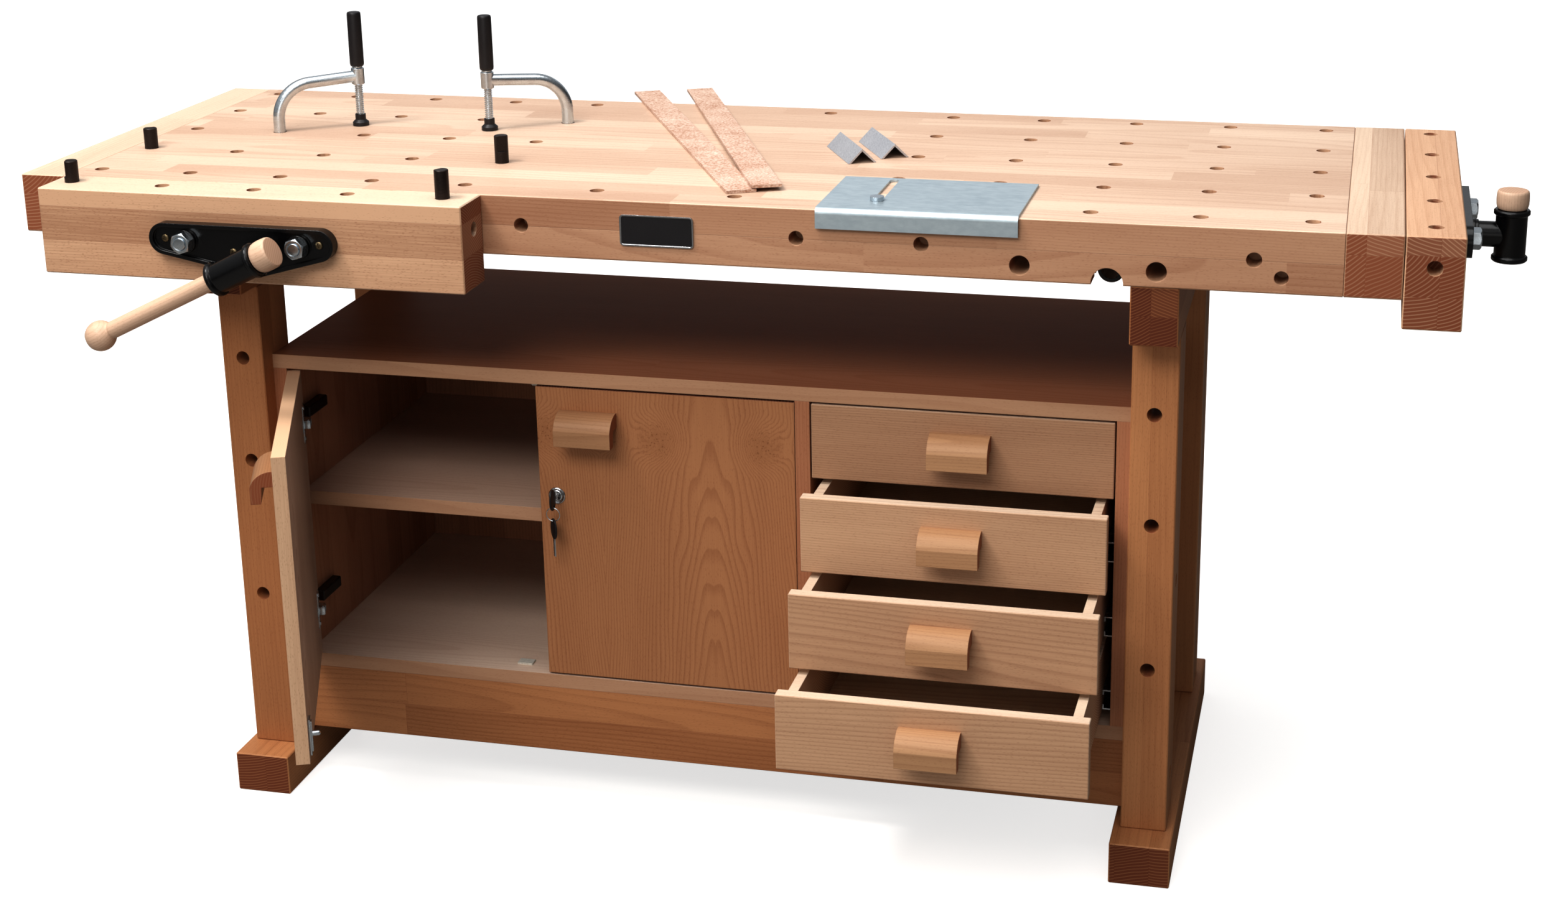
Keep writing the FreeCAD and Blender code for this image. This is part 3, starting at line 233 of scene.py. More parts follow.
    # end grain: darker, with a thin pale line where each year's growth begins
    apart = add(group, "Math", {0: season, 1: 0.5}, operation="SUBTRACT")
    apart = add(group, "Math", {0: apart}, operation="ABSOLUTE")
    line = add(group, "MapRange", {0: apart, 1: 0.10, 2: 0.20, 3: 1.0, 4: 0.0},
               interpolation_type="SMOOTHSTEP")
    pale = add(group, "Math", {0: chance["Value"], 1: 0.30, 2: -0.08}, operation="MULTIPLY_ADD")
    pale = add(group, "Math", {0: line, 1: 0.30, 2: pale}, operation="MULTIPLY_ADD", use_clamp=True)
    sawn = add(group, "Mix", {0: pale, 6: given["End"], 7: given["Pale"]}, 2, data_type="RGBA")
    wood = add(group, "Mix", {0: end, 6: wood, 7: sawn}, 2, data_type="RGBA")
    # glue lines between staves and butt joints between blocks, about 0.7 mm wide
    joint = 1000.0
    for count, length in ((across, size["Y"]), (through, size["Z"]), (along, size["X"])):
        share = add(group, "Math", {0: count}, operation="FRACT")
        share = add(group, "Math", {0: share, 1: 0.5}, operation="SUBTRACT")
        share = add(group, "Math", {0: share}, operation="ABSOLUTE")
        edge = add(group, "Math", {0: 0.5, 1: share}, operation="SUBTRACT")
        gap = add(group, "Math", {0: edge, 1: length}, operation="MULTIPLY")
        joint = add(group, "Math", {0: gap, 1: joint}, operation="MINIMUM")
    seam = add(group, "MapRange", {0: joint, 1: 0.15, 2: 0.55, 3: 1.0, 4: 0.0})
    stained = add(group, "Math", {0: seam, 1: 0.3}, operation="MULTIPLY")
    lined = add(group, "Mix", {0: stained, 6: wood, 7: given["End"]}, 2, data_type="RGBA")
    sheen = add(group, "Math", {0: end, 1: 0.12}, operation="MULTIPLY")
    sheen = add(group, "Math", {0: ring, 1: 0.05, 2: sheen}, operation="MULTIPLY_ADD")
    sheen = add(group, "Math", {0: fibre, 1: 0.16, 2: sheen}, operation="MULTIPLY_ADD")
    height = add(group, "Math", {0: fibre, 1: 0.6}, operation="MULTIPLY")
    height = add(group, "Math", {0: height, 1: seam}, operation="SUBTRACT")
    fill(result, {"Colour": lined, "Sheen": sheen, "Height": height})
    return group


def axes(order, turn=0.0):
    """A turn to the bench axes named in order, such as ZXY, and then about the upright."""
    named = {"X": Vector((1, 0, 0)), "Y": Vector((0, 1, 0)), "Z": Vector((0, 0, 1))}
    first, second = named[order[0]], named[order[1]]
    rows = Matrix((first, second, first.cross(second))).transposed()
    return Matrix.Rotation(math.radians(turn), 3, "Z") @ rows


def toned(colour, factor):
    """A colour made paler or darker, and redder as it darkens. It gives the grain's pale and dark tones, and the
    painted lit and shaded copies of a finish.
    """
    return tuple(min(1.0, c * factor ** power) for c, power in zip(colour[:3], (1.0, 1.35, 1.55))) + (1.0,)


def beech(name, tone, frame_turn, zero, stave, end=0.8, end_tint=None, sides=None, back=None, contrast=1.0,
          gloss=0.40, shine=0.3, pith=(30.0, -30.0, 1.0), rings=(3.6, 0.24, 0.0), leaf=0.0, knots=()):
    """Steamed beech, planed and oiled: a close, even grain with thin rings, tiny flecks and a low sheen.

    frame_turn turns the grain's axes to the bench's; zero is the first stave's corner; stave is a
    block's length, width and thickness in millimetres; end is how dark the end grain is, sides the
    colour of edges beside the main face and back the colour of the face on the turn's far side. Gloss is
    the least roughness, shine the strength of the mirrored light. A leaf width book-matches veneer about
    zero; each knot has a place along and across it, a reach, and how far the rings bend round it.
    """
    pattern = bpy.data.node_groups.get("laminated beech") or beech_pattern()
    material, tree, shader = new_material(name)
    turned_by = frame_turn.to_euler()
    spot = add(tree, "TexCoord", {}, None).outputs
    place = add(tree, "Mapping", {"Vector": spot["Object"], "Location": at(*zero), "Rotation": turned_by,
                                  "Scale": (0.001, 0.001, 0.001)}, vector_type="TEXTURE")
    facing = add(tree, "Mapping", {"Vector": spot["Normal"], "Rotation": turned_by}, vector_type="TEXTURE")
    swirl = 0.0
    eyes = None
    if leaf:
        parts = add(tree, "SeparateXYZ", {0: place}, None).outputs
        folded = add(tree, "Math", {0: parts["Y"], 1: leaf}, operation="PINGPONG")
        place = add(tree, "CombineXYZ", {0: parts["X"], 1: folded, 2: parts["Z"]})
        flat = add(tree, "CombineXYZ", {0: parts["X"], 1: folded})
        curls = add(tree, "TexNoise", {"Vector": flat, "Scale": 0.11, "Detail": 2.0})
        drawn_out = add(tree, "VectorMath", {0: flat, 1: (0.005, 0.022, 0.0)}, operation="MULTIPLY")
        ripple = add(tree, "TexNoise", {"Vector": drawn_out, "Scale": 1.0, "Detail": 1.0})
        swirl = add(tree, "Math", {0: ripple, 1: 14.0}, operation="MULTIPLY")
        for along, across, reach, lift in knots:
            far = add(tree, "VectorMath", {0: flat, 1: (along, across, 0.0)}, 1, operation="DISTANCE")
            near = add(tree, "MapRange", {0: far, 1: 0.0, 2: reach, 3: 1.0, 4: 0.0},
                       interpolation_type="SMOOTHSTEP")
            push = add(tree, "Math", {0: curls, 1: 14.0, 2: lift}, operation="MULTIPLY_ADD")
            swirl = add(tree, "Math", {0: near, 1: push, 2: swirl}, operation="MULTIPLY_ADD")
            eyes = add(tree, "Math", {0: near, 1: 0.0 if eyes is None else eyes}, operation="MAXIMUM")
    pale, dark = toned(tone, 1.10), toned(tone, 0.68)
    looks = add(tree, "SeparateXYZ", {0: facing}, 2)
    if back:
        behind = add(tree, "MapRange", {0: looks, 1: -0.3, 2: 0.3})
        pale = add(tree, "Mix", {0: behind, 6: pale, 7: toned(back, 1.10)}, 2, data_type="RGBA")
        dark = add(tree, "Mix", {0: behind, 6: dark, 7: toned(back, 0.68)}, 2, data_type="RGBA")
    if sides:
        face = add(tree, "MapRange", {0: add(tree, "Math", {0: looks}, operation="ABSOLUTE"), 1: 0.4, 2: 0.8})
        pale = add(tree, "Mix", {0: face, 6: toned(sides, 1.10), 7: pale}, 2, data_type="RGBA")
        dark = add(tree, "Mix", {0: face, 6: toned(sides, 0.68), 7: dark}, 2, data_type="RGBA")
        if leaf:
            # the glued edge band of a veneered board shows no rings
            shown = add(tree, "Math", {0: face, 1: rings[1]}, operation="MULTIPLY")
            rings = add(tree, "CombineXYZ", {0: rings[0], 1: shown, 2: rings[2]})
    sawn = toned(end_tint or bpy.context.scene.bench_colours.end, end)
    wood = add(tree, "Group", {"Place": place, "Facing": facing, "Stave": stave, "Pith": pith, "Rings": rings,
                               "Pale": pale, "Dark": dark, "End": sawn, "Contrast": contrast,
                               "Swirl": swirl}, None, node_tree=pattern).outputs
    colour = wood["Colour"]
    if eyes:
        # small red-brown eyes about 2 mm across where the rings curl
        dots = add(tree, "TexVoronoi", {"Vector": flat, "Scale": 0.26})
        dot = add(tree, "MapRange", {0: dots, 1: 0.16, 2: 0.34, 3: 1.0, 4: 0.0})
        core = add(tree, "MapRange", {0: eyes, 1: 0.35, 2: 0.9, 3: 0.0, 4: 0.9})
        share = add(tree, "Math", {0: dot, 1: core}, operation="MULTIPLY")
        stain = add(tree, "Math", {0: core, 1: curls}, operation="MULTIPLY")
        colour = add(tree, "Mix", {0: stain, 6: colour, 7: toned(tone, 0.72)}, 2, data_type="RGBA")
        colour = add(tree, "Mix", {0: share, 6: colour, 7: toned(tone, 0.5)}, 2, data_type="RGBA")
    rough = add(tree, "Math", {0: wood["Sheen"], 1: gloss}, operation="ADD")
    rounded = add(tree, "Bevel", {"Radius": 0.0012}, samples=4)
    bump = add(tree, "Bump", {"Height": wood["Height"], "Strength": 0.35, "Distance": 0.0003,
                              "Normal": rounded})
    fill(shader, {"Base Color": colour, "Roughness": rough, "IOR": 1.48, "Specular IOR Level": shine,
                  "Normal": bump})
    return material


def speckled(name, colour, other, grit, share, roughness, metallic, bump, stretch, ior, edge):
    """A fine random surface: colour and other mix in grains of the grit size; sizes in millimetres."""
    material, tree, shader = new_material(name)
    spot = add(tree, "TexCoord", {}, "Object")
    place = add(tree, "Mapping", {"Vector": spot, "Scale": stretch})
    grain = add(tree, "TexNoise", {"Vector": place, "Scale": 1000.0 / grit, "Detail": 3.0, "Roughness": 0.6})
    slow = add(tree, "TexNoise", {"Vector": spot, "Scale": 1000.0 / 70, "Detail": 2.0})
    both = add(tree, "Math", {0: slow, 1: 0.35, 2: grain}, operation="MULTIPLY_ADD")
    mixed = add(tree, "MapRange", {0: both, 1: 0.35 + share / 2, 2: 0.95, 3: 0.0, 4: 1.0})
    shown = add(tree, "Mix", {0: mixed, 6: tuple(colour), 7: tuple(other)}, 2, data_type="RGBA")
    rough = add(tree, "MapRange", {0: both, 1: 0.3, 2: 1.1, 3: roughness - 0.06, 4: roughness + 0.10})
    rounded = add(tree, "Bevel", {"Radius": edge / 1000}, samples=4)
    raised = add(tree, "Bump", {"Height": grain, "Strength": bump, "Distance": 0.0004, "Normal": rounded})
    fill(shader, {"Base Color": shown, "Roughness": rough, "Metallic": metallic, "Normal": raised})
    if ior:
        fill(shader, {"IOR": ior})
    return material


def finish(piece, material):
    """Gives a piece or a CAD node one material on every face."""
    piece.data.materials.clear()
    piece.data.materials.append(material)
    for polygon in piece.data.polygons:
        polygon.material_index = 0
    return piece


# ---- modelling ------------------------------------------------------------------------------

def clear_selection():
    if bpy.context.object and bpy.context.object.mode != "OBJECT":
        bpy.ops.object.mode_set(mode="OBJECT")
    bpy.ops.object.select_all(action="DESELECT")


def shift(x, y, z):
    """A move in millimetres."""
    return Matrix.Translation(Vector((x, y, z)) / 1000)


def spin(degrees, axis):
    """A turn about one of the frame's axes."""
    return Matrix.Rotation(math.radians(degrees), 4, axis)


def discard(*pieces):
    for piece in pieces:
        bpy.data.objects.remove(piece, do_unlink=True)


def started(name, keep_place=False):
    """Names the object just made, and its mesh; keep_place moves the mesh to where it was made."""
    piece = bpy.context.object
    piece.name = piece.data.name = name
    if keep_place:
        bpy.ops.object.transform_apply(location=True, rotation=True, scale=True)
    return piece


def pick(piece):
    """Makes a piece the only one selected."""
    clear_selection()
    bpy.context.view_layer.objects.active = piece
    piece.select_set(True)
    return piece


def edit(piece):
    """Opens a piece for editing with nothing selected."""
    pick(piece)
    bpy.ops.object.mode_set(mode="EDIT")
    bpy.ops.mesh.select_all(action="DESELECT")


def choose(piece, kind, test):
    """Selects the faces or edges of the open piece that pass a test."""
    bpy.ops.mesh.select_mode(type={"faces": "FACE", "edges": "EDGE"}[kind])
    bpy.ops.mesh.select_all(action="DESELECT")
    mesh = bmesh.from_edit_mesh(piece.data)
    for item in getattr(mesh, kind):
        if test(item):
            item.select_set(True)
    mesh.select_flush_mode()
    bmesh.update_edit_mesh(piece.data)


def close(piece, angle=35.0):
    """Leaves edit mode with the normals outwards and smooth shading up to an angle."""
    bpy.ops.mesh.select_all(action="SELECT")
    bpy.ops.mesh.remove_doubles(threshold=0.000005)
    bpy.ops.mesh.normals_make_consistent(inside=False)
    bpy.ops.object.mode_set(mode="OBJECT")
    bpy.ops.object.shade_smooth_by_angle(angle=math.radians(angle))
    return piece


def rework(piece, angle):
    """Merges what cuts left behind in a piece and shades it again."""
    edit(piece)
    return close(piece, angle)


def extrude(step):
    """Draws the selected faces or points out by a step in metres."""
    bpy.ops.mesh.extrude_region_move(TRANSFORM_OT_translate={"value": step})


def turned(name, profile, sides=0):
    """A solid turned about the upright: profile lists radius and height in millimetres, from one end."""
    sides = sides or bpy.context.scene.bench_sizes.turned_sides
    clear_selection()
    radius, height = profile[0]
    bpy.ops.mesh.primitive_circle_add(vertices=sides, radius=radius / 1000, fill_type="NGON",
                                      location=(0, 0, height / 1000))
    piece = started(name, keep_place=True)
    edit(piece)
    bpy.ops.mesh.select_mode(type="FACE")
    bpy.ops.mesh.select_all(action="SELECT")
    for next_radius, next_height in profile[1:]:
        extrude((0, 0, (next_height - height) / 1000))
        ratio = next_radius / radius
        if abs(ratio - 1) > 0.0001:
            bpy.ops.transform.resize(value=(ratio, ratio, 1), center_override=(0, 0, next_height / 1000))
        radius, height = next_radius, next_height
    return close(piece)


def drawn(name, points):
    """A line of edges through points in millimetres, drawn from a plane merged to its first point."""
    clear_selection()
    first = Vector(points[0]) / 1000
    bpy.ops.mesh.primitive_plane_add(size=0.01, location=first)
    piece = started(name, keep_place=True)
    edit(piece)
    bpy.ops.mesh.select_mode(type="VERT")
    bpy.ops.mesh.select_all(action="SELECT")
    bpy.ops.mesh.merge(type="CENTER")
    for a, b in zip(points, points[1:]):
        extrude((Vector(b) - Vector(a)) / 1000)
    bpy.ops.object.mode_set(mode="OBJECT")
    return piece


def block(name, low, high, soften=0.0):
    """A box between two corners in millimetres about the frame's origin, with its edges eased."""
    clear_selection()
    middle = [(a + b) / 2000 for a, b in zip(low, high)]
    size = [(b - a) / 1000 for a, b in zip(low, high)]
    bpy.ops.mesh.primitive_cube_add(size=1, location=middle, scale=size)
    piece = started(name, keep_place=True)
    if soften:
        edit(piece)
        bpy.ops.mesh.select_all(action="SELECT")
        bpy.ops.mesh.bevel(offset=soften / 1000, segments=2, affect="EDGES")
        close(piece)
    return piece


def put(piece, matrix):
    """Moves a piece by a matrix and keeps the place in its mesh."""
    pick(piece)
    piece.matrix_world = matrix
    bpy.ops.object.transform_apply(location=True, rotation=True, scale=True)
    return piece


def copied(piece, name, matrix=None):
    """A copy of a piece with its own mesh, moved by a matrix."""
    pick(piece)
    bpy.ops.object.duplicate(linked=False)
    piece = started(name)
    return put(piece, matrix) if matrix else piece


def joined(name, *pieces):
    """Several pieces as one object."""
    clear_selection()
    for piece in pieces:
        piece.select_set(True)
    bpy.context.view_layer.objects.active = pieces[0]
    bpy.ops.object.join()
    return started(name)


def carve(piece, cutter, operation="DIFFERENCE"):
    """Takes a cutter out of a piece, adds it or keeps what both share, and deletes the cutter."""
    pick(piece)
    change = piece.modifiers.new("carve", "BOOLEAN")
    change.operation = operation
    change.object = cutter
    change.solver = "EXACT"
    bpy.ops.object.modifier_apply(modifier=change.name)
    discard(cutter)
    return piece


def stand_in(piece, material, body, node):
    """Finishes a piece, lets it ride on a body and shows it in place of a CAD node."""
    finish(piece, material)
    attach(piece, body)
    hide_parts(node)
    return piece


# ---- places ---------------------------------------------------------------------------------

TOP_LENGTH = 1825
DOOR_FRONT = 76
DOOR_BACK = 94
# A vise is drawn about x = 0 at the bench's edge and the floor, facing forward.
PLATE_FACE = -86.0
PLATE_POCKET = 5.0
GUIDE_SIDE = 80.0
GUIDE_HEIGHT = 840.0
SCREW_SIDE = 108.5
SCREW_HEIGHT = 843.0
SPINDLE_SIDE = 19.0
SPINDLE_HEIGHT = 822.0
SLEEVE_FRONT = -139.0
BAR_TURN = 63.6
VISES = {"front": Matrix.Translation(at(362, 0, 0)),
         "end": Matrix.Translation(at(TOP_LENGTH, 317, 0)) @ spin(90, "Z")}
HINGE_EDGES = {"left": 330.9, "right": 1056.1}
HINGE_INSET = 22
LEFT_HINGE = at(HINGE_EDGES["left"], DOOR_FRONT, 0)
DOOR_OPEN = -67.4
HINGE_HEIGHTS = (265.0, 545.0)
LOCK = at(719, DOOR_FRONT, 460)
HOLDDOWNS = {"left": (at(226.5, 317, 900), 33.6), "right": (at(622.5, 452, 900), -144.2)}
ARM_REACH = 118.0


def facing_front(x, y, z):
    """Turns a piece drawn along the upright so that it looks forward from a place in millimetres."""
    return shift(x, y, z) @ spin(90, "X")


def door_turn():
    """How the left door stands open about its hinges."""
    return (Matrix.Translation(LEFT_HINGE) @ spin(DOOR_OPEN, "Z")
            @ Matrix.Translation(-LEFT_HINGE))


# ---- finishes of metal, plastic and cork ----------------------------------------------------

def finishes():
    """Every finish but timber, made once and found again by name."""
    tint = bpy.context.scene.bench_colours
    # two colours, the grains' size, the second's share, roughness, metal, bump, stretch, IOR, rounding
    even = (1, 1, 1)
    recipes = {
        # near black, slightly orange-peeled, with thin bright highlights on its rounded edges
        "powder-coated cast iron": (tint.iron, linear("#0e0e10"), 2.2, 0.3, 0.20, 0.0, 0.12, even, 1.5, 1.8),
        # a thin brown-black oxide with a dull metal sheen
        "blackened steel": (tint.dog, linear("#3a2f2b"), 1.2, 0.25, 0.40, 0.5, 0.10, even, None, 0.8),
        # pale grey, faintly cloudy, bright highlights
        "zinc-plated steel": (tint.zinc, linear("#c4c8cc"), 14.0, 0.5, 0.26, 1.0, 0.0, even, None, 0.3),
        # fine scratches along one way
        "ground sheet steel": (tint.steel, linear("#aebbc3"), 9.0, 0.15, 0.36, 0.6, 0.02, (0.5, 1, 1),
                               None, 0.6),
        "mill-finished aluminium": (tint.aluminium, linear("#b3b4ba"), 1.6, 0.2, 0.40, 0.6, 0.05,
                                    (1, 0.08, 1), None, 0.4),
        # a milky, faintly mottled skin that looks pale even in a dark cupboard
        "pale passivated steel": (linear("#e4e2da"), linear("#c6c3b9"), 3.0, 0.2, 0.42, 0.2, 0.03,
                                  even, 1.5, 0.4),
        # granules of two tones under a soft matt skin
        "pressed cork": (tint.cork, linear("#9c6a4c"), 3.0, 0.25, 0.85, 0.0, 0.25, even, 1.4, 0.4),
        # satin black with a fine moulded grain
        "moulded nylon": (tint.plastic, linear("#221f23"), 0.8, 0.3, 0.42, 0.0, 0.15, even, 1.53, 0.8),
        # dull yellow-brown, darker in the recess
        "brass": (tint.brass, linear("#5d4c2e"), 1.0, 0.3, 0.36, 1.0, 0.05, even, None, 0.3),
        # mirror bright with sharp reflections
        "polished chrome": (linear("#cfd0d2"), linear("#b4b6ba"), 3.0, 0.1, 0.12, 1.0, 0.0, even, None, 0.4),
    }
    made = {}
    for name, recipe in recipes.items():
        made[name] = bpy.data.materials.get(name) or speckled(name, *recipe)
    return made


# ---- operators ------------------------------------------------------------------------------

class BENCH_OT_timber(Operator):
    """Gives every timber part its beech"""
    bl_idname = "bench.timber"
    bl_label = "Timber"

    def execute(self, context):
        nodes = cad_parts
        tint = context.scene.bench_colours
        whole = 20000.0
        # end makes each part's end grain darker, as end grain is; its lowest values also paint shade on ends
        # that face right or sit under the worktop, such as the bearers' 0.38.
        for node, tone, factor, order, zero, stave, options in (
                # Where sides is the front colour, the upright faces of the worktop, end caps and front jaw take
                # the darker front copy: painted shade beside their lit tops.
                ("worktop", tint.worktop, 1.06, "XYZ", (0, 0, 860), (420, 47.7, 40),
                 {"contrast": 0.95, "sides": tint.front}),
                ("front_apron", tint.front, 1.04, "XZY", (0, 0, 821), (520, 40, 60), {"contrast": 1.2}),
                ("rear_apron", tint.front, 0.95, "XZY", (90, 500, 821), (560, 40, 140), {}),
                ("end_caps", tint.worktop, 0.86, "YXZ", (1, 0, 822), (900, 89, 51),
                 {"end": 0.86, "rings": (4.6, 0.13, 0.0), "sides": tint.front}),
                ("front_jaw", tint.worktop, 0.84, "XYZ", (0, -255, -136), (1900, 90, 46),
                 {"end": 0.70, "contrast": 1.6, "sides": toned(tint.front, 0.98), "rings": (3.6, 0.12, 0.0)}),
                ("end_jaw", tint.front, 1.08, "YXZ", (TOP_LENGTH, -100, 774), (900, 42, 51),
                 {"end": 0.72, "rings": (4.6, 0.15, 0.0)}),
                ("feet", tint.stand, 1.0, "YXZ", (240, 0, 0), (900, 45, 90),
                 {"end": 0.55, "contrast": 1.2, "rings": (4.2, 0.2, 0.0)}),
                ("posts", tint.stand, 1.02, "ZXY", (248, 0, -20), (whole, 64, 41),
                 {"rings": (3.6, 0.12, 0.0)}),
                ("bearers", tint.stand, 0.80, "YXZ", (248, 0, 744), (900, 64, 38), {"end": 0.38}),
                ("stretchers", tint.stand, 0.90, "XZY", (300, 70, 74), (700, 48.5, 40), {"contrast": 1.2}),
                # The cabinet top's factor of 0.70 is painted shade under the worktop, and its sides, a paler
                # drawer beech, paint light on its lit front edge.
                ("cabinet_top", tint.board, 0.70, "XYZ", (300, DOOR_FRONT, 619), (3000, 900, 20),
                 {"contrast": 0.7, "sides": toned(tint.drawer, 1.15), "shine": 0.05}),
                ("cabinet_bottom", tint.inside, 1.22, "XYZ", (300, DOOR_FRONT, 171), (3000, 900, 20),
                 {"contrast": 0.7, "sides": toned(tint.drawer, 1.1)}),
                ("cabinet_shelf", tint.inside, 1.0, "XYZ", (330, 98, 411), (3000, 900, 20),
                 {"contrast": 0.7, "sides": toned(tint.drawer, 1.1)}),
                ("cabinet_uprights", tint.board, 1.0, "ZYX", (1100, DOOR_FRONT, 191), (whole, 48, 22), {}),
                ("cabinet_back", tint.board, 0.8, "ZXY", (330, 540, 191), (whole, 120, 20), {}),
        ):
            wood = beech("oiled beech, " + node.replace("_", " "), toned(tone, factor), axes(order), zero,
                         stave, **options)
            finish(nodes[node], wood)
        inner = toned(tint.inside, 0.8)
        veneer = {"pith": (0.0, -18.0, 0.0), "rings": (3.5, 0.40, 0.05), "leaf": 155.0, "contrast": 1.15}
        # the right door's leaves meet 117 mm from its hinge edge, with a knot each side of the joint
        wood = beech("beech veneer, right door", tint.veneer, axes("ZXY"), (939, DOOR_FRONT, 190),
                     (whole, 400, 60), back=inner, knots=((360, 74, 52, 20.0), (352, 142, 24, 8.0)), **veneer)
        finish(nodes["right_door"], wood)
        wood = beech("beech veneer, left door", tint.veneer, axes("ZXY", DOOR_OPEN),
                     (HINGE_EDGES["left"], DOOR_FRONT, 190), (whole, 400, 60), back=inner,
                     sides=toned(tint.drawer, 1.27), end_tint=tint.drawer, end=1.2, **veneer)
        finish(nodes["left_door"], wood)
        pull = {"contrast": 0.8, "gloss": 0.36, "rings": (3.4, 0.30, 0.0)}
        for side, factor, turn, zero in (("right", 0.86, 0.0, (700, 0, 500)),
                                         ("left", 0.80, DOOR_OPEN, (331, 0, 500))):
            wood = beech("light beech, %s door pull" % side, toned(tint.pull, factor), axes("XZY", turn),
                         zero, (whole, 300, 300), **pull)
            finish(nodes[side + "_door_handle"], wood)
        # The top drawer's factor of 0.86 is painted shade under the worktop.
        for n, factor in enumerate((0.86, 1.0, 0.95, 1.0)):
            name = "drawer_%d" % (n + 1)
            label = name.replace("_", " ")
            # sides gives each drawer's edges above and below its face the pale worktop colour: painted light for
            # the top edges lit from above.
            wood = beech("beech, " + label, toned(tint.drawer, factor), axes("XZY"),
                         (1000 + 70 * n, -400, 110 * n - 300), (whole, 900, 900), end_tint=tint.drawer,
                         sides=tint.worktop, pith=(320.0 + 25 * n, 380.0, 0.2), rings=(3.2, 0.34, 0.015))
            finish(nodes[name], wood)
            wood = beech("light beech, %s pull" % label, tint.pull, axes("XZY"), (1100, -300, 100 * n - 300),
                         (whole, 900, 900), **pull)
            finish(nodes[name + "_handle"], wood)
        return {"FINISHED"}


class BENCH_OT_metal(Operator):
    """Gives the castings, plated steel, plastic and cork their finishes"""
    bl_idname = "bench.metal"
    bl_label = "Castings and Fittings"

    def execute(self, context):
        made = finishes()
        for finish_name, names in (
                ("powder-coated cast iron", ("front_vise_plate", "end_vise_plate", "vise_mounts",
                                             "front_vise_screw", "end_vise_screw")),
                ("blackened steel", ("front_left_dog", "front_right_dog", "back_left_dog", "back_right_dog",
                                     "hinge_arms")),
                ("zinc-plated steel", ("bench_bolts", "drawer_runners", "left_door_fittings",
                                       "right_door_fittings", "front_vise_guides", "end_vise_guides",
                                       "spare_key", "left_holddown_arm", "right_holddown_arm",
                                       "left_holddown_screw", "right_holddown_screw")),
                ("moulded nylon", ("left_holddown_pad", "right_holddown_pad", "lock_key", "nameplate")),
                ("ground sheet steel", ("stop_plate",)),
                ("mill-finished aluminium", ("left_angle", "right_angle")),
                ("pale passivated steel", ("door_catches",)),
                ("pressed cork", ("left_cork_strip", "right_cork_strip"))):
            for name in names:
                finish(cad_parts[name], made[finish_name])
        return {"FINISHED"}


class BENCH_OT_vise_bars(Operator):
    """Turns the beech bars, knobs and ball of both vises"""
    bl_idname = "bench.vise_bars"
    bl_label = "Vise Bars"

    def execute(self, context):
        knob = [(17.2, 35.3), (18.6, 35.9), (19.8, 38), (20.7, 42), (21, 47), (20.9, 52), (20.6, 56.6),
                (19.9, 59.0), (18.8, 60.1), (17.4, 60.3)]
        bar = [(11.5, -200), (11.5, 35.3)]
        ball_radius, ball_centre = 20.3, -224
        ball = [(math.sqrt(ball_radius ** 2 - height ** 2), ball_centre + height)
                for height in range(-14, 15, 2)]
        neck = [(12.8, -208.2), (11.9, -207.4), (11.0, -206.6), (10.6, -205.6), (11.0, -204.6),
                (11.5, -203.8)]
        front = turned("front_bar_and_ball", [(11.6, -240.0)] + ball + neck + bar + knob)
        end = turned("end_bar_and_knob", [(11.5, -26.7)] + bar[1:] + knob)
        for piece, vise, tilt in ((front, "front", BAR_TURN), (end, "end", 0.0)):
            sleeve = shift(SPINDLE_SIDE, SLEEVE_FRONT, SPINDLE_HEIGHT)
            matrix = VISES[vise] @ sleeve @ spin(tilt, "Y")
            put(piece, matrix)
            middle = (matrix.translation + ZERO) * 1000 - Vector((300, 300, 300))
            wood = beech("turned beech, %s bar" % vise, context.scene.bench_colours.bar,
                         matrix.to_3x3() @ axes("ZXY"), middle, (20000, 900, 900),
                         end_tint=context.scene.bench_colours.bar, contrast=0.8, gloss=0.32)
            stand_in(piece, wood, vise + "_vise_bar", vise + "_vise_bar")
        return {"FINISHED"}


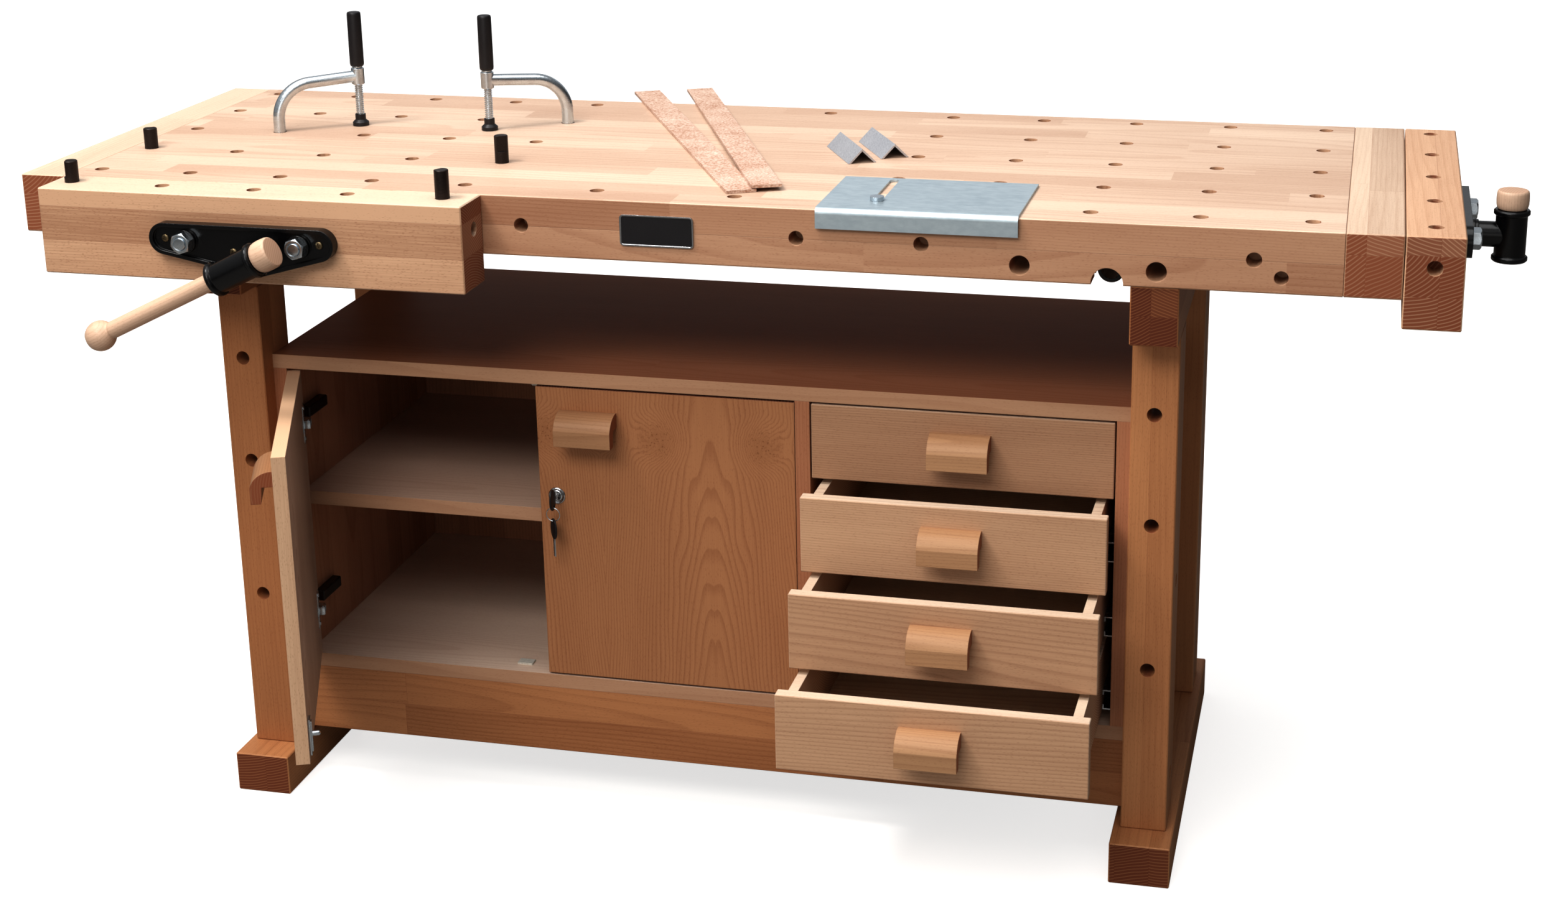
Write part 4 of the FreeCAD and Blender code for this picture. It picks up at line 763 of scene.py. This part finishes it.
class BENCH_OT_vise_hardware(Operator):
    """Turns the guide rods of both vises, with their nuts and the plates' wood screws"""
    bl_idname = "bench.vise_hardware"
    bl_label = "Vise Hardware"

    def execute(self, context):
        made = finishes()
        # a chamfered nut of 25 mm across flats, with a countersunk bore
        nut = turned("nut", [(14.43, 0), (14.43, 12)], sides=6)
        put(nut, spin(-12, "Z"))
        nut = carve(nut, turned("nut_cone", [(14.5, -1), (14.5, 9.8), (12.1, 12), (12.1, 13)]), "INTERSECT")
        nut = carve(nut, turned("nut_bore", [(8, -1), (8, 10.6), (9.5, 12.1), (9.5, 13)]))
        rework(nut, 25.0)
        # a raised wood screw with a cross recess
        screw = turned("screw", [(5.4, 0), (5.4, 0.8), (5.0, 1.5), (4.0, 2.1), (2.6, 2.4), (0.9, 2.5)],
                       sides=32)
        for name, turn in (("slot_a", 20.0), ("slot_b", 110.0)):
            slot = block(name, (-2.9, -0.65, 1.0), (2.9, 0.65, 4.0))
            screw = carve(screw, put(slot, spin(turn, "Z")))
        rework(screw, 30.0)
        for vise, place in VISES.items():
            node = vise + "_vise_guides"
            low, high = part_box(node)
            far = (high.y - at(0, 0, 0).y) * 1000 if vise == "front" else (at(TOP_LENGTH, 0, 0).x - low.x) * 1000
            stud = -PLATE_FACE + 12.0
            profile = [(11, -far), (12, 1 - far), (12, 1), (8, 1), (8, stud), (7.4, stud + 0.7),
                       (3, stud + 1)]
            rods, nuts = [], []
            for side in (-GUIDE_SIDE, GUIDE_SIDE):
                rods.append(put(turned("guide", profile), facing_front(side, 0, GUIDE_HEIGHT)))
                nuts.append(copied(nut, "nut", facing_front(side, PLATE_FACE, GUIDE_HEIGHT)))
            seat = PLATE_FACE + PLATE_POCKET
            screws = [copied(screw, "screw", facing_front(x, seat, z)) for x, z in (
                (-SCREW_SIDE, SCREW_HEIGHT), (SCREW_SIDE, SCREW_HEIGHT),
                (-SPINDLE_SIDE / 2 - 3, SPINDLE_HEIGHT + 6))]
            for piece, material in ((joined(vise + "_guide_rods", *rods), "zinc-plated steel"),
                                    (joined(vise + "_nuts", *nuts), "zinc-plated steel"),
                                    (joined(vise + "_wood_screws", *screws), "brass")):
                stand_in(put(piece, place), made[material], vise + "_vise", node)
        discard(nut, screw)
        return {"FINISHED"}


class BENCH_OT_holddown_arms(Operator):
    """Bends the hold-downs' tubes and welds on their screw eyes"""
    bl_idname = "bench.holddown_arms"
    bl_label = "Hold-down Arms"

    def execute(self, context):
        radius, bend, corner, tip = 8.6, 51.0, 66.0, 74.0
        rise = math.atan2(tip - corner, ARM_REACH)
        turn = math.pi / 2 - rise
        setback = bend * math.tan(turn / 2)
        start = corner - setback
        arm = turned("arm", [(radius, -65), (radius, start)], sides=32)
        edit(arm)
        choose(arm, "faces", lambda f: f.normal.z > 0.9)
        for _ in range(14):
            extrude((0, 0, 0))
            bpy.ops.transform.rotate(value=-turn / 14, orient_axis="Y", orient_type="GLOBAL",
                                     center_override=(bend / 1000, 0, start / 1000))
        straight = (math.hypot(ARM_REACH, tip - corner) - setback - 2.0) / 1000
        step = (straight * math.cos(rise), 0, straight * math.sin(rise))
        extrude(step)
        close(arm, 40.0)
        low, high = tip - 12.5, tip + 12.5
        eye = turned("eye", [(8.0, low), (9.4, low + 1.2), (9.4, high - 1.2), (8.0, high)])
        beyond = shift(ARM_REACH, 0, 0)
        arm = carve(arm, put(eye, beyond), "UNION")
        arm = carve(arm, put(turned("bore", [(6.1, low - 5), (6.1, high + 5)]), beyond))
        rework(arm, 35.0)
        for side, (place, heading) in HOLDDOWNS.items():
            matrix = Matrix.Translation(place) @ spin(heading, "Z")
            node = side + "_holddown_arm"
            stand_in(copied(arm, side + "_tube_arm", matrix), finishes()["zinc-plated steel"], node, node)
        discard(arm)
        return {"FINISHED"}


class BENCH_OT_spare_nut(Operator):
    """Hangs the spare spindle nut behind the arch in the front edge"""
    bl_idname = "bench.spare_nut"
    bl_label = "Spare Nut"

    def execute(self, context):
        # a bush under a flange that is screwed to the slab's underside
        flange = block("spare_nut_flange", (-34, 0, 28), (34, 44, 38), soften=1.5)
        bush = put(turned("bush", [(15.5, 0), (17, 1.5), (17, 42.5), (15.5, 44)]),
                   shift(0, 44, 6) @ spin(90, "X"))
        web = block("web", (-9, 4, 12), (9, 40, 33))
        piece = carve(carve(flange, bush, "UNION"), web, "UNION")
        piece = carve(piece, put(turned("bore", [(12, -60), (12, 20)]),
                                 shift(0, 0, 6) @ spin(90, "X")))
        rework(piece, 30.0)
        put(piece, Matrix.Translation(at(1473.5, 46, 822)))
        finish(piece, finishes()["powder-coated cast iron"])
        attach(piece, "bench")
        return {"FINISHED"}


class BENCH_OT_holddown_screws(Operator):
    """Cuts the hold-downs' threaded rods and gives them grips"""
    bl_idname = "bench.holddown_screws"
    bl_label = "Hold-down Screws"

    def execute(self, context):
        made = finishes()
        pitch = context.scene.bench_sizes.thread_pitch * 1000
        low, high = 9.6, 88.5
        crest, root = 6.0, 4.7
        # one pitch of a trapezoid thread, swept up the rod
        line = [(root, 0), (root, 0.16), (crest, 0.40), (crest, 0.62), (root, 0.86), (root, 1.0)]
        thread = drawn("thread", [(radius, 0, low - pitch + share * pitch) for radius, share in line])
        sweep = thread.modifiers.new("sweep", "SCREW")
        sweep.axis = "Z"
        sweep.steps = sweep.render_steps = 24
        sweep.screw_offset = pitch / 1000
        sweep.iterations = int((high - low) / pitch) + 3
        sweep.use_merge_vertices = True
        pick(thread)
        bpy.ops.object.modifier_apply(modifier=sweep.name)
        edit(thread)
        bpy.ops.mesh.select_all(action="SELECT")
        bpy.ops.mesh.remove_doubles(threshold=0.000005)
        for height, outwards in ((low, -1), (high, 1)):
            bpy.ops.mesh.select_all(action="SELECT")
            bpy.ops.mesh.bisect(plane_co=(0, 0, height / 1000), plane_no=(0, 0, outwards), use_fill=True,
                                clear_outer=True)
        close(thread, 40.0)
        # a moulded grip with softly rounded ends over a plated collar
        grip = turned("grip", [(7.6, 88.6), (9.0, 88.9), (9.9, 90.4), (10.2, 93), (10.2, 130), (10.0, 164.5),
                               (9.7, 166.9), (8.9, 168.1), (7.8, 168.5)])
        collar = turned("collar", [(6.4, 86.6), (7.2, 87.0), (7.4, 87.8), (7.2, 88.6)])
        for side, (place, heading) in HOLDDOWNS.items():
            body = side + "_holddown_screw"
            matrix = (Matrix.Translation(place) @ spin(heading, "Z")
                      @ shift(ARM_REACH, 0, 0))
            rod = joined(side + "_threaded_rod", copied(thread, "rod"), copied(collar, "neck"))
            stand_in(put(rod, matrix), made["zinc-plated steel"], body, body)
            stand_in(copied(grip, side + "_grip", matrix), made["moulded nylon"], body, body)
        discard(thread, grip, collar)
        return {"FINISHED"}


class BENCH_OT_badge(Operator):
    """Makes the bare badge: a black plate with a bright raised rim"""
    bl_idname = "bench.badge"
    bl_label = "Badge"

    def execute(self, context):
        made = finishes()
        low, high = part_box("nameplate")
        plate = block("badge", low * 1000, high * 1000)
        edit(plate)
        # round the four corners, then sink the face inside a narrow rim
        choose(plate, "edges", lambda e: abs((e.verts[0].co - e.verts[1].co).normalized().y) > 0.9)
        bpy.ops.mesh.bevel(offset=0.005, segments=6, affect="EDGES")
        choose(plate, "faces", lambda f: f.normal.y < -0.9)
        bpy.ops.mesh.inset(thickness=context.scene.bench_sizes.badge_rim)
        bpy.ops.mesh.inset(thickness=0.0005)
        bpy.ops.transform.translate(value=(0, 0.0006, 0))
        close(plate, 30.0)
        stand_in(plate, made["polished chrome"], "bench", "nameplate")
        plate.data.materials.append(made["moulded nylon"])
        front = min(v.co.y for v in plate.data.vertices)
        for polygon in plate.data.polygons:
            if polygon.normal.y < -0.9 and polygon.center.y > front + 0.0005:
                polygon.material_index = 1
        return {"FINISHED"}


class BENCH_OT_keys(Operator):
    """Makes the lock's rosette, the key in it, the ring and the spare key"""
    bl_idname = "bench.keys"
    bl_label = "Lock and Keys"

    def bow(self, name, hole):
        """A moulded oval bow in the YZ plane, 21 by 30 mm, with a hole for the ring."""
        piece = turned(name, [(8.4, -1.9), (9.5, -1.6), (10.1, -0.9), (10.1, 0.9), (9.5, 1.6), (8.4, 1.9)])
        put(piece, spin(90, "Y") @ Matrix.Diagonal((15.0 / 10.1, 10.5 / 10.1, 0.79, 1)))
        hole_cutter = turned("hole", [(3.0, -4), (3.0, 4)], sides=24)
        put(hole_cutter, shift(0, 0, hole) @ spin(90, "Y"))
        piece = carve(piece, hole_cutter)
        return rework(piece, 40.0)

    def execute(self, context):
        made = finishes()
        chrome, nylon, zinc = made["polished chrome"], made["moulded nylon"], made["zinc-plated steel"]
        # rosette with a raised ring and a dished face, on the lock's barrel
        rosette = turned("lock_rosette", [
            (8.5, -26), (8.5, -0.2), (8.6, 0), (12.0, 0), (12.2, 0.5), (11.6, 1.4), (10.6, 1.9), (9.6, 1.7),
            (8.8, 1.1), (8.0, 1.0), (7.4, 1.5), (6.6, 1.9), (5.8, 1.9)])
        rosette = carve(rosette, turned("bore", [(5.1, -24), (5.1, 4)]))
        rework(rosette, 35.0)
        facing = Matrix.Translation(LOCK) @ spin(90, "X")
        stand_in(put(rosette, facing), chrome, "right_door", "right_door_fittings")
        plug = turned("lock_plug", [(5, -16), (5, 1.6), (4.6, 2)], sides=32)
        plug = put(plug, facing)
        shank = put(block("shank", (-1, -9.6, -3), (1, -1, 3), soften=0.3), Matrix.Translation(LOCK))
        stand_in(joined("lock_plug_and_shank", plug, shank), chrome, "lock_key", "lock_key")
        bow = put(self.bow("lock_key_bow", -10.0), Matrix.Translation(LOCK + Vector((0, -0.0185, 0))))
        stand_in(bow, nylon, "lock_key", "lock_key")
        # wire ring, spun from a small circle, with the second key hanging in it
        clear_selection()
        bpy.ops.mesh.primitive_circle_add(vertices=10, radius=0.0007, location=(0.0095, 0, 0))
        ring = started("key_ring", keep_place=True)
        edit(ring)
        bpy.ops.mesh.select_all(action="SELECT")
        bpy.ops.transform.rotate(value=math.pi / 2, orient_axis="X", center_override=(0.0095, 0, 0))
        bpy.ops.mesh.spin(steps=48, angle=2 * math.pi, center=(0, 0, 0), axis=(0, 0, 1))
        close(ring, 60.0)
        carry = LOCK + Vector((0, -0.0185, -0.010))
        put(ring, Matrix.Translation(carry - Vector((0, 0, 0.0108))) @ spin(90, "X"))
        stand_in(ring, zinc, "spare_key", "spare_key")
        hang = Matrix.Translation(carry - Vector((0, 0, 0.0316))) @ spin(40, "Z")
        stand_in(put(self.bow("spare_key_bow", 10.0), hang), nylon, "spare_key", "spare_key")
        # blade with notches of differing depth along one edge, and a milled groove
        blade = block("spare_key_blade", (-1, -3, -40), (1, 3, -13.5), soften=0.35)
        for n, depth in enumerate((1.6, 2.3, 1.2, 2.0, 1.5)):
            notch = turned("notch", [(1.7, -3), (1.7, 3)], sides=4)
            place = shift(0, 3.0 + 1.2 - depth * 0.75, -20.5 - 3.8 * n)
            blade = carve(blade, put(notch, place @ spin(90, "Y")))
        for face in (-1, 1):
            low, high = sorted((0.55 * face, 2 * face))
            blade = carve(blade, block("groove", (low, -1.6, -39), (high, -0.6, -14)))
        rework(blade, 30.0)
        stand_in(put(blade, hang), zinc, "spare_key", "spare_key")
        return {"FINISHED"}


class BENCH_OT_door_fittings(Operator):
    """Makes the doors' hinge cups and the left door's sliding bolt"""
    bl_idname = "bench.door_fittings"
    bl_label = "Door Fittings"

    def hinge(self):
        """A concealed hinge's cup, screw flange and link, drawn on the door's inner face."""
        cup = put(turned("cup", [(17.5, 0.2), (17.5, 10.6), (16.4, 11)]), spin(90, "X"))
        flange = block("flange", (-11, 0, -28), (11, 1.2, 28))
        edit(flange)
        choose(flange, "edges", lambda e: abs((e.verts[0].co - e.verts[1].co).normalized().y) > 0.9)
        bpy.ops.mesh.bevel(offset=0.006, segments=5, affect="EDGES")
        close(flange, 30.0)
        heads = [put(turned("head", [(3.4, 0), (3.4, 0.5), (2.6, 1.1), (1.0, 1.3)], sides=20),
                     shift(0, 1.2, z) @ spin(-90, "X"))
                 for z in (-22.0, 22.0)]
        # the folded link: a channel with a pin through its cheeks
        link = block("link", (-9, 0.6, -6), (9, 10, 6), soften=1.2)
        edit(link)
        choose(link, "faces", lambda f: f.normal.y > 0.9)
        bpy.ops.mesh.inset(thickness=0.0015)
        extrude((0, -0.004, 0))
        close(link, 30.0)
        pin = turned("pin", [(1.6, -7), (2.2, -6.6), (2.2, 6.6), (1.6, 7)], sides=16)
        put(pin, shift(4.5, 7, 0))
        return joined("hinge", cup, flange, link, pin, *heads)

    def execute(self, context):
        zinc = finishes()["zinc-plated steel"]
        hinge = self.hinge()
        for side, inward, turn in (("left", HINGE_INSET, door_turn()), ("right", -HINGE_INSET, Matrix())):
            x = HINGE_EDGES[side] + inward
            cups = [copied(hinge, "cup", turn @ Matrix.Translation(at(x, DOOR_BACK, z))) for z in HINGE_HEIGHTS]
            stand_in(joined(side + "_hinge_cups", *cups), zinc, side + "_door", side + "_door_fittings")
        discard(hinge)
        # the bolt: a plate with a raised slide, a slot along it and a small knob
        plate = block("bolt_plate", (-8, 0, -25), (8, 3, 25), soften=0.5)
        edit(plate)
        choose(plate, "faces", lambda f: f.normal.y > 0.99 and f.calc_area() > 0.0001)
        bpy.ops.mesh.inset(thickness=0.0035)
        extrude((0, 0.0016, 0))
        bpy.ops.mesh.inset(thickness=0.0025)
        extrude((0, -0.0014, 0))
        close(plate, 30.0)
        knob = turned("bolt_knob", [(3.5, 2.4), (3.5, 12.4), (3.2, 13.6), (2.2, 14.6), (1.0, 15)], sides=24)
        put(knob, shift(0, 0, 3) @ spin(-90, "X"))
        bolt = joined("left_door_bolt", plate, knob)
        # 8 mm from the door's free edge and 8 mm above its lower end
        put(bolt, door_turn() @ Matrix.Translation(at(676, DOOR_BACK, 227)))
        stand_in(bolt, zinc, "left_door", "left_door_fittings")
        return {"FINISHED"}


class BENCH_OT_stage(Operator):
    """Sets up the floor, the lights and the camera"""
    bl_idname = "bench.stage"
    bl_label = "Stage"

    def execute(self, context):
        clear_selection()
        bpy.ops.mesh.primitive_plane_add(size=60, location=(0, 0, 0))
        floor = started("floor")
        material, tree, shader = new_material("pale studio floor")
        fill(shader, {"Base Color": linear("#c9c7c4"), "Roughness": 0.85, "Specular IOR Level": 0.1})
        # the camera sees it lit to white beyond the bench, but it throws little light back up
        spot = add(tree, "TexCoord", {}, "Object")
        reach = add(tree, "VectorMath", {0: spot}, 1, operation="LENGTH")
        glow = add(tree, "MapRange", {0: reach, 1: 0.8, 2: 5.0, 3: 0.74, 4: 1.0})
        light = add(tree, "Emission", {"Strength": glow})
        both = add(tree, "AddShader", {0: shader.outputs[0], 1: light})
        dim = add(tree, "BsdfDiffuse", {"Color": linear("#8d8a86")})
        seen = add(tree, "LightPath", {}, "Is Camera Ray")
        shown = add(tree, "MixShader", {0: seen, 1: dim, 2: both})
        fill(tree.nodes["Material Output"], {"Surface": shown})
        finish(floor, material)

        target = at(950, 250, 600)
        for name, place, size, power, colour in (
                ("overhead", (950, -50, 3400), (3.2, 2.0), 52, "#ffffff"),
                ("key", (-850, -900, 4200), (0.9, 0.9), 84, "#fffdfa"),
                ("front", (300, -2700, 3300), (2.6, 1.4), 84, "#fffdfa"),
                ("fill", (900, -4600, 1300), (2.6, 1.6), 20, "#fffaf4"),
                ("rear card", (950, 4300, 2300), (6.0, 2.6), 24, "#f4f9ff")):
            bpy.ops.object.light_add(type="AREA", location=at(*place))
            lamp = bpy.context.object
            lamp.name = name
            # the card behind the bench is only mirrored in metal and in the oiled wood
            lamp.visible_diffuse = name != "rear card"
            lamp.data.shape = "RECTANGLE"
            lamp.data.size, lamp.data.size_y = size
            lamp.data.energy = power
            lamp.data.color = linear(colour)[:3]
            lamp.rotation_euler = (target - lamp.location).to_track_quat("-Z", "Y").to_euler()
        world = bpy.data.worlds.new("studio")
        world.use_nodes = True
        tree = world.node_tree
        # the room is bright above and a little brighter to the left, and dark to the right
        spot = add(tree, "TexCoord", {}, "Generated")
        towards = add(tree, "VectorMath", {0: spot, 1: (-0.30, -0.22, 0.92)}, 1, operation="DOT_PRODUCT")
        sky = add(tree, "MapRange", {0: towards, 1: -0.2, 2: 0.95, 3: 0.02, 4: 0.60})
        seen = add(tree, "LightPath", {}, "Is Camera Ray")
        strength = add(tree, "Mix", {0: seen, 2: sky, 3: 1.0})
        fill(tree.nodes["Background"], {"Color": linear("#ffffff"), "Strength": strength})
        context.scene.world = world
        # deeper, redder shadows under the same whites
        context.scene.view_settings.view_transform = "Standard"
        context.scene.view_settings.gamma = 0.76

        # the camera's turns in radians; its focal length and shifts in pixels of the image
        image_width, focal, shift_x, shift_y = 2520, 3732.73, -75.5, -252.0
        yaw, pitch, roll = 0.234, -0.2832, -0.0125
        ahead = Vector((-math.sin(yaw) * math.cos(pitch), math.cos(yaw) * math.cos(pitch), math.sin(pitch)))
        right = Vector((math.cos(yaw), math.sin(yaw), 0))
        up = right.cross(ahead)
        rolled_right = math.cos(roll) * right + math.sin(roll) * up
        rolled_up = math.cos(roll) * up - math.sin(roll) * right
        bpy.ops.object.camera_add(location=at(1779.2, -2739.1, 1596.0))
        camera = bpy.context.object
        camera.name = "camera"
        camera.rotation_euler = Matrix((rolled_right, rolled_up, -ahead)).transposed().to_euler()
        camera.data.sensor_width = 36.0
        camera.data.lens = focal / image_width * 36
        camera.data.shift_x = shift_x / image_width
        camera.data.shift_y = shift_y / image_width
        camera.data.clip_end = 200
        context.scene.camera = camera
        return {"FINISHED"}


class BENCH_PT_panel(Panel):
    """Lists the bench's parts in the sidebar"""
    bl_idname = "BENCH_PT_panel"
    bl_label = "Joiner's Bench"
    bl_space_type = "VIEW_3D"
    bl_region_type = "UI"
    bl_category = "Bench"

    def draw(self, context):
        for operator in OPERATORS:
            self.layout.operator(operator.bl_idname)
        for group in (context.scene.bench_sizes, context.scene.bench_colours):
            box = self.layout.box()
            for name in group.__annotations__:
                box.prop(group, name)


OPERATORS = (BENCH_OT_timber, BENCH_OT_metal, BENCH_OT_vise_bars, BENCH_OT_vise_hardware,
             BENCH_OT_holddown_arms, BENCH_OT_holddown_screws, BENCH_OT_spare_nut, BENCH_OT_badge,
             BENCH_OT_keys, BENCH_OT_door_fittings, BENCH_OT_stage)
CLASSES = (BenchColours, BenchSizes) + OPERATORS + (BENCH_PT_panel,)


def register():
    for item in CLASSES:
        bpy.utils.register_class(item)
    bpy.types.Scene.bench_colours = PointerProperty(type=BenchColours)
    bpy.types.Scene.bench_sizes = PointerProperty(type=BenchSizes)


def unregister():
    del bpy.types.Scene.bench_sizes
    del bpy.types.Scene.bench_colours
    for item in reversed(CLASSES):
        bpy.utils.unregister_class(item)


def main():
    register()
    for operator in OPERATORS:
        family, name = operator.bl_idname.split(".")
        getattr(getattr(bpy.ops, family), name)()
    clear_selection()


if __name__ == "__main__":
    main()
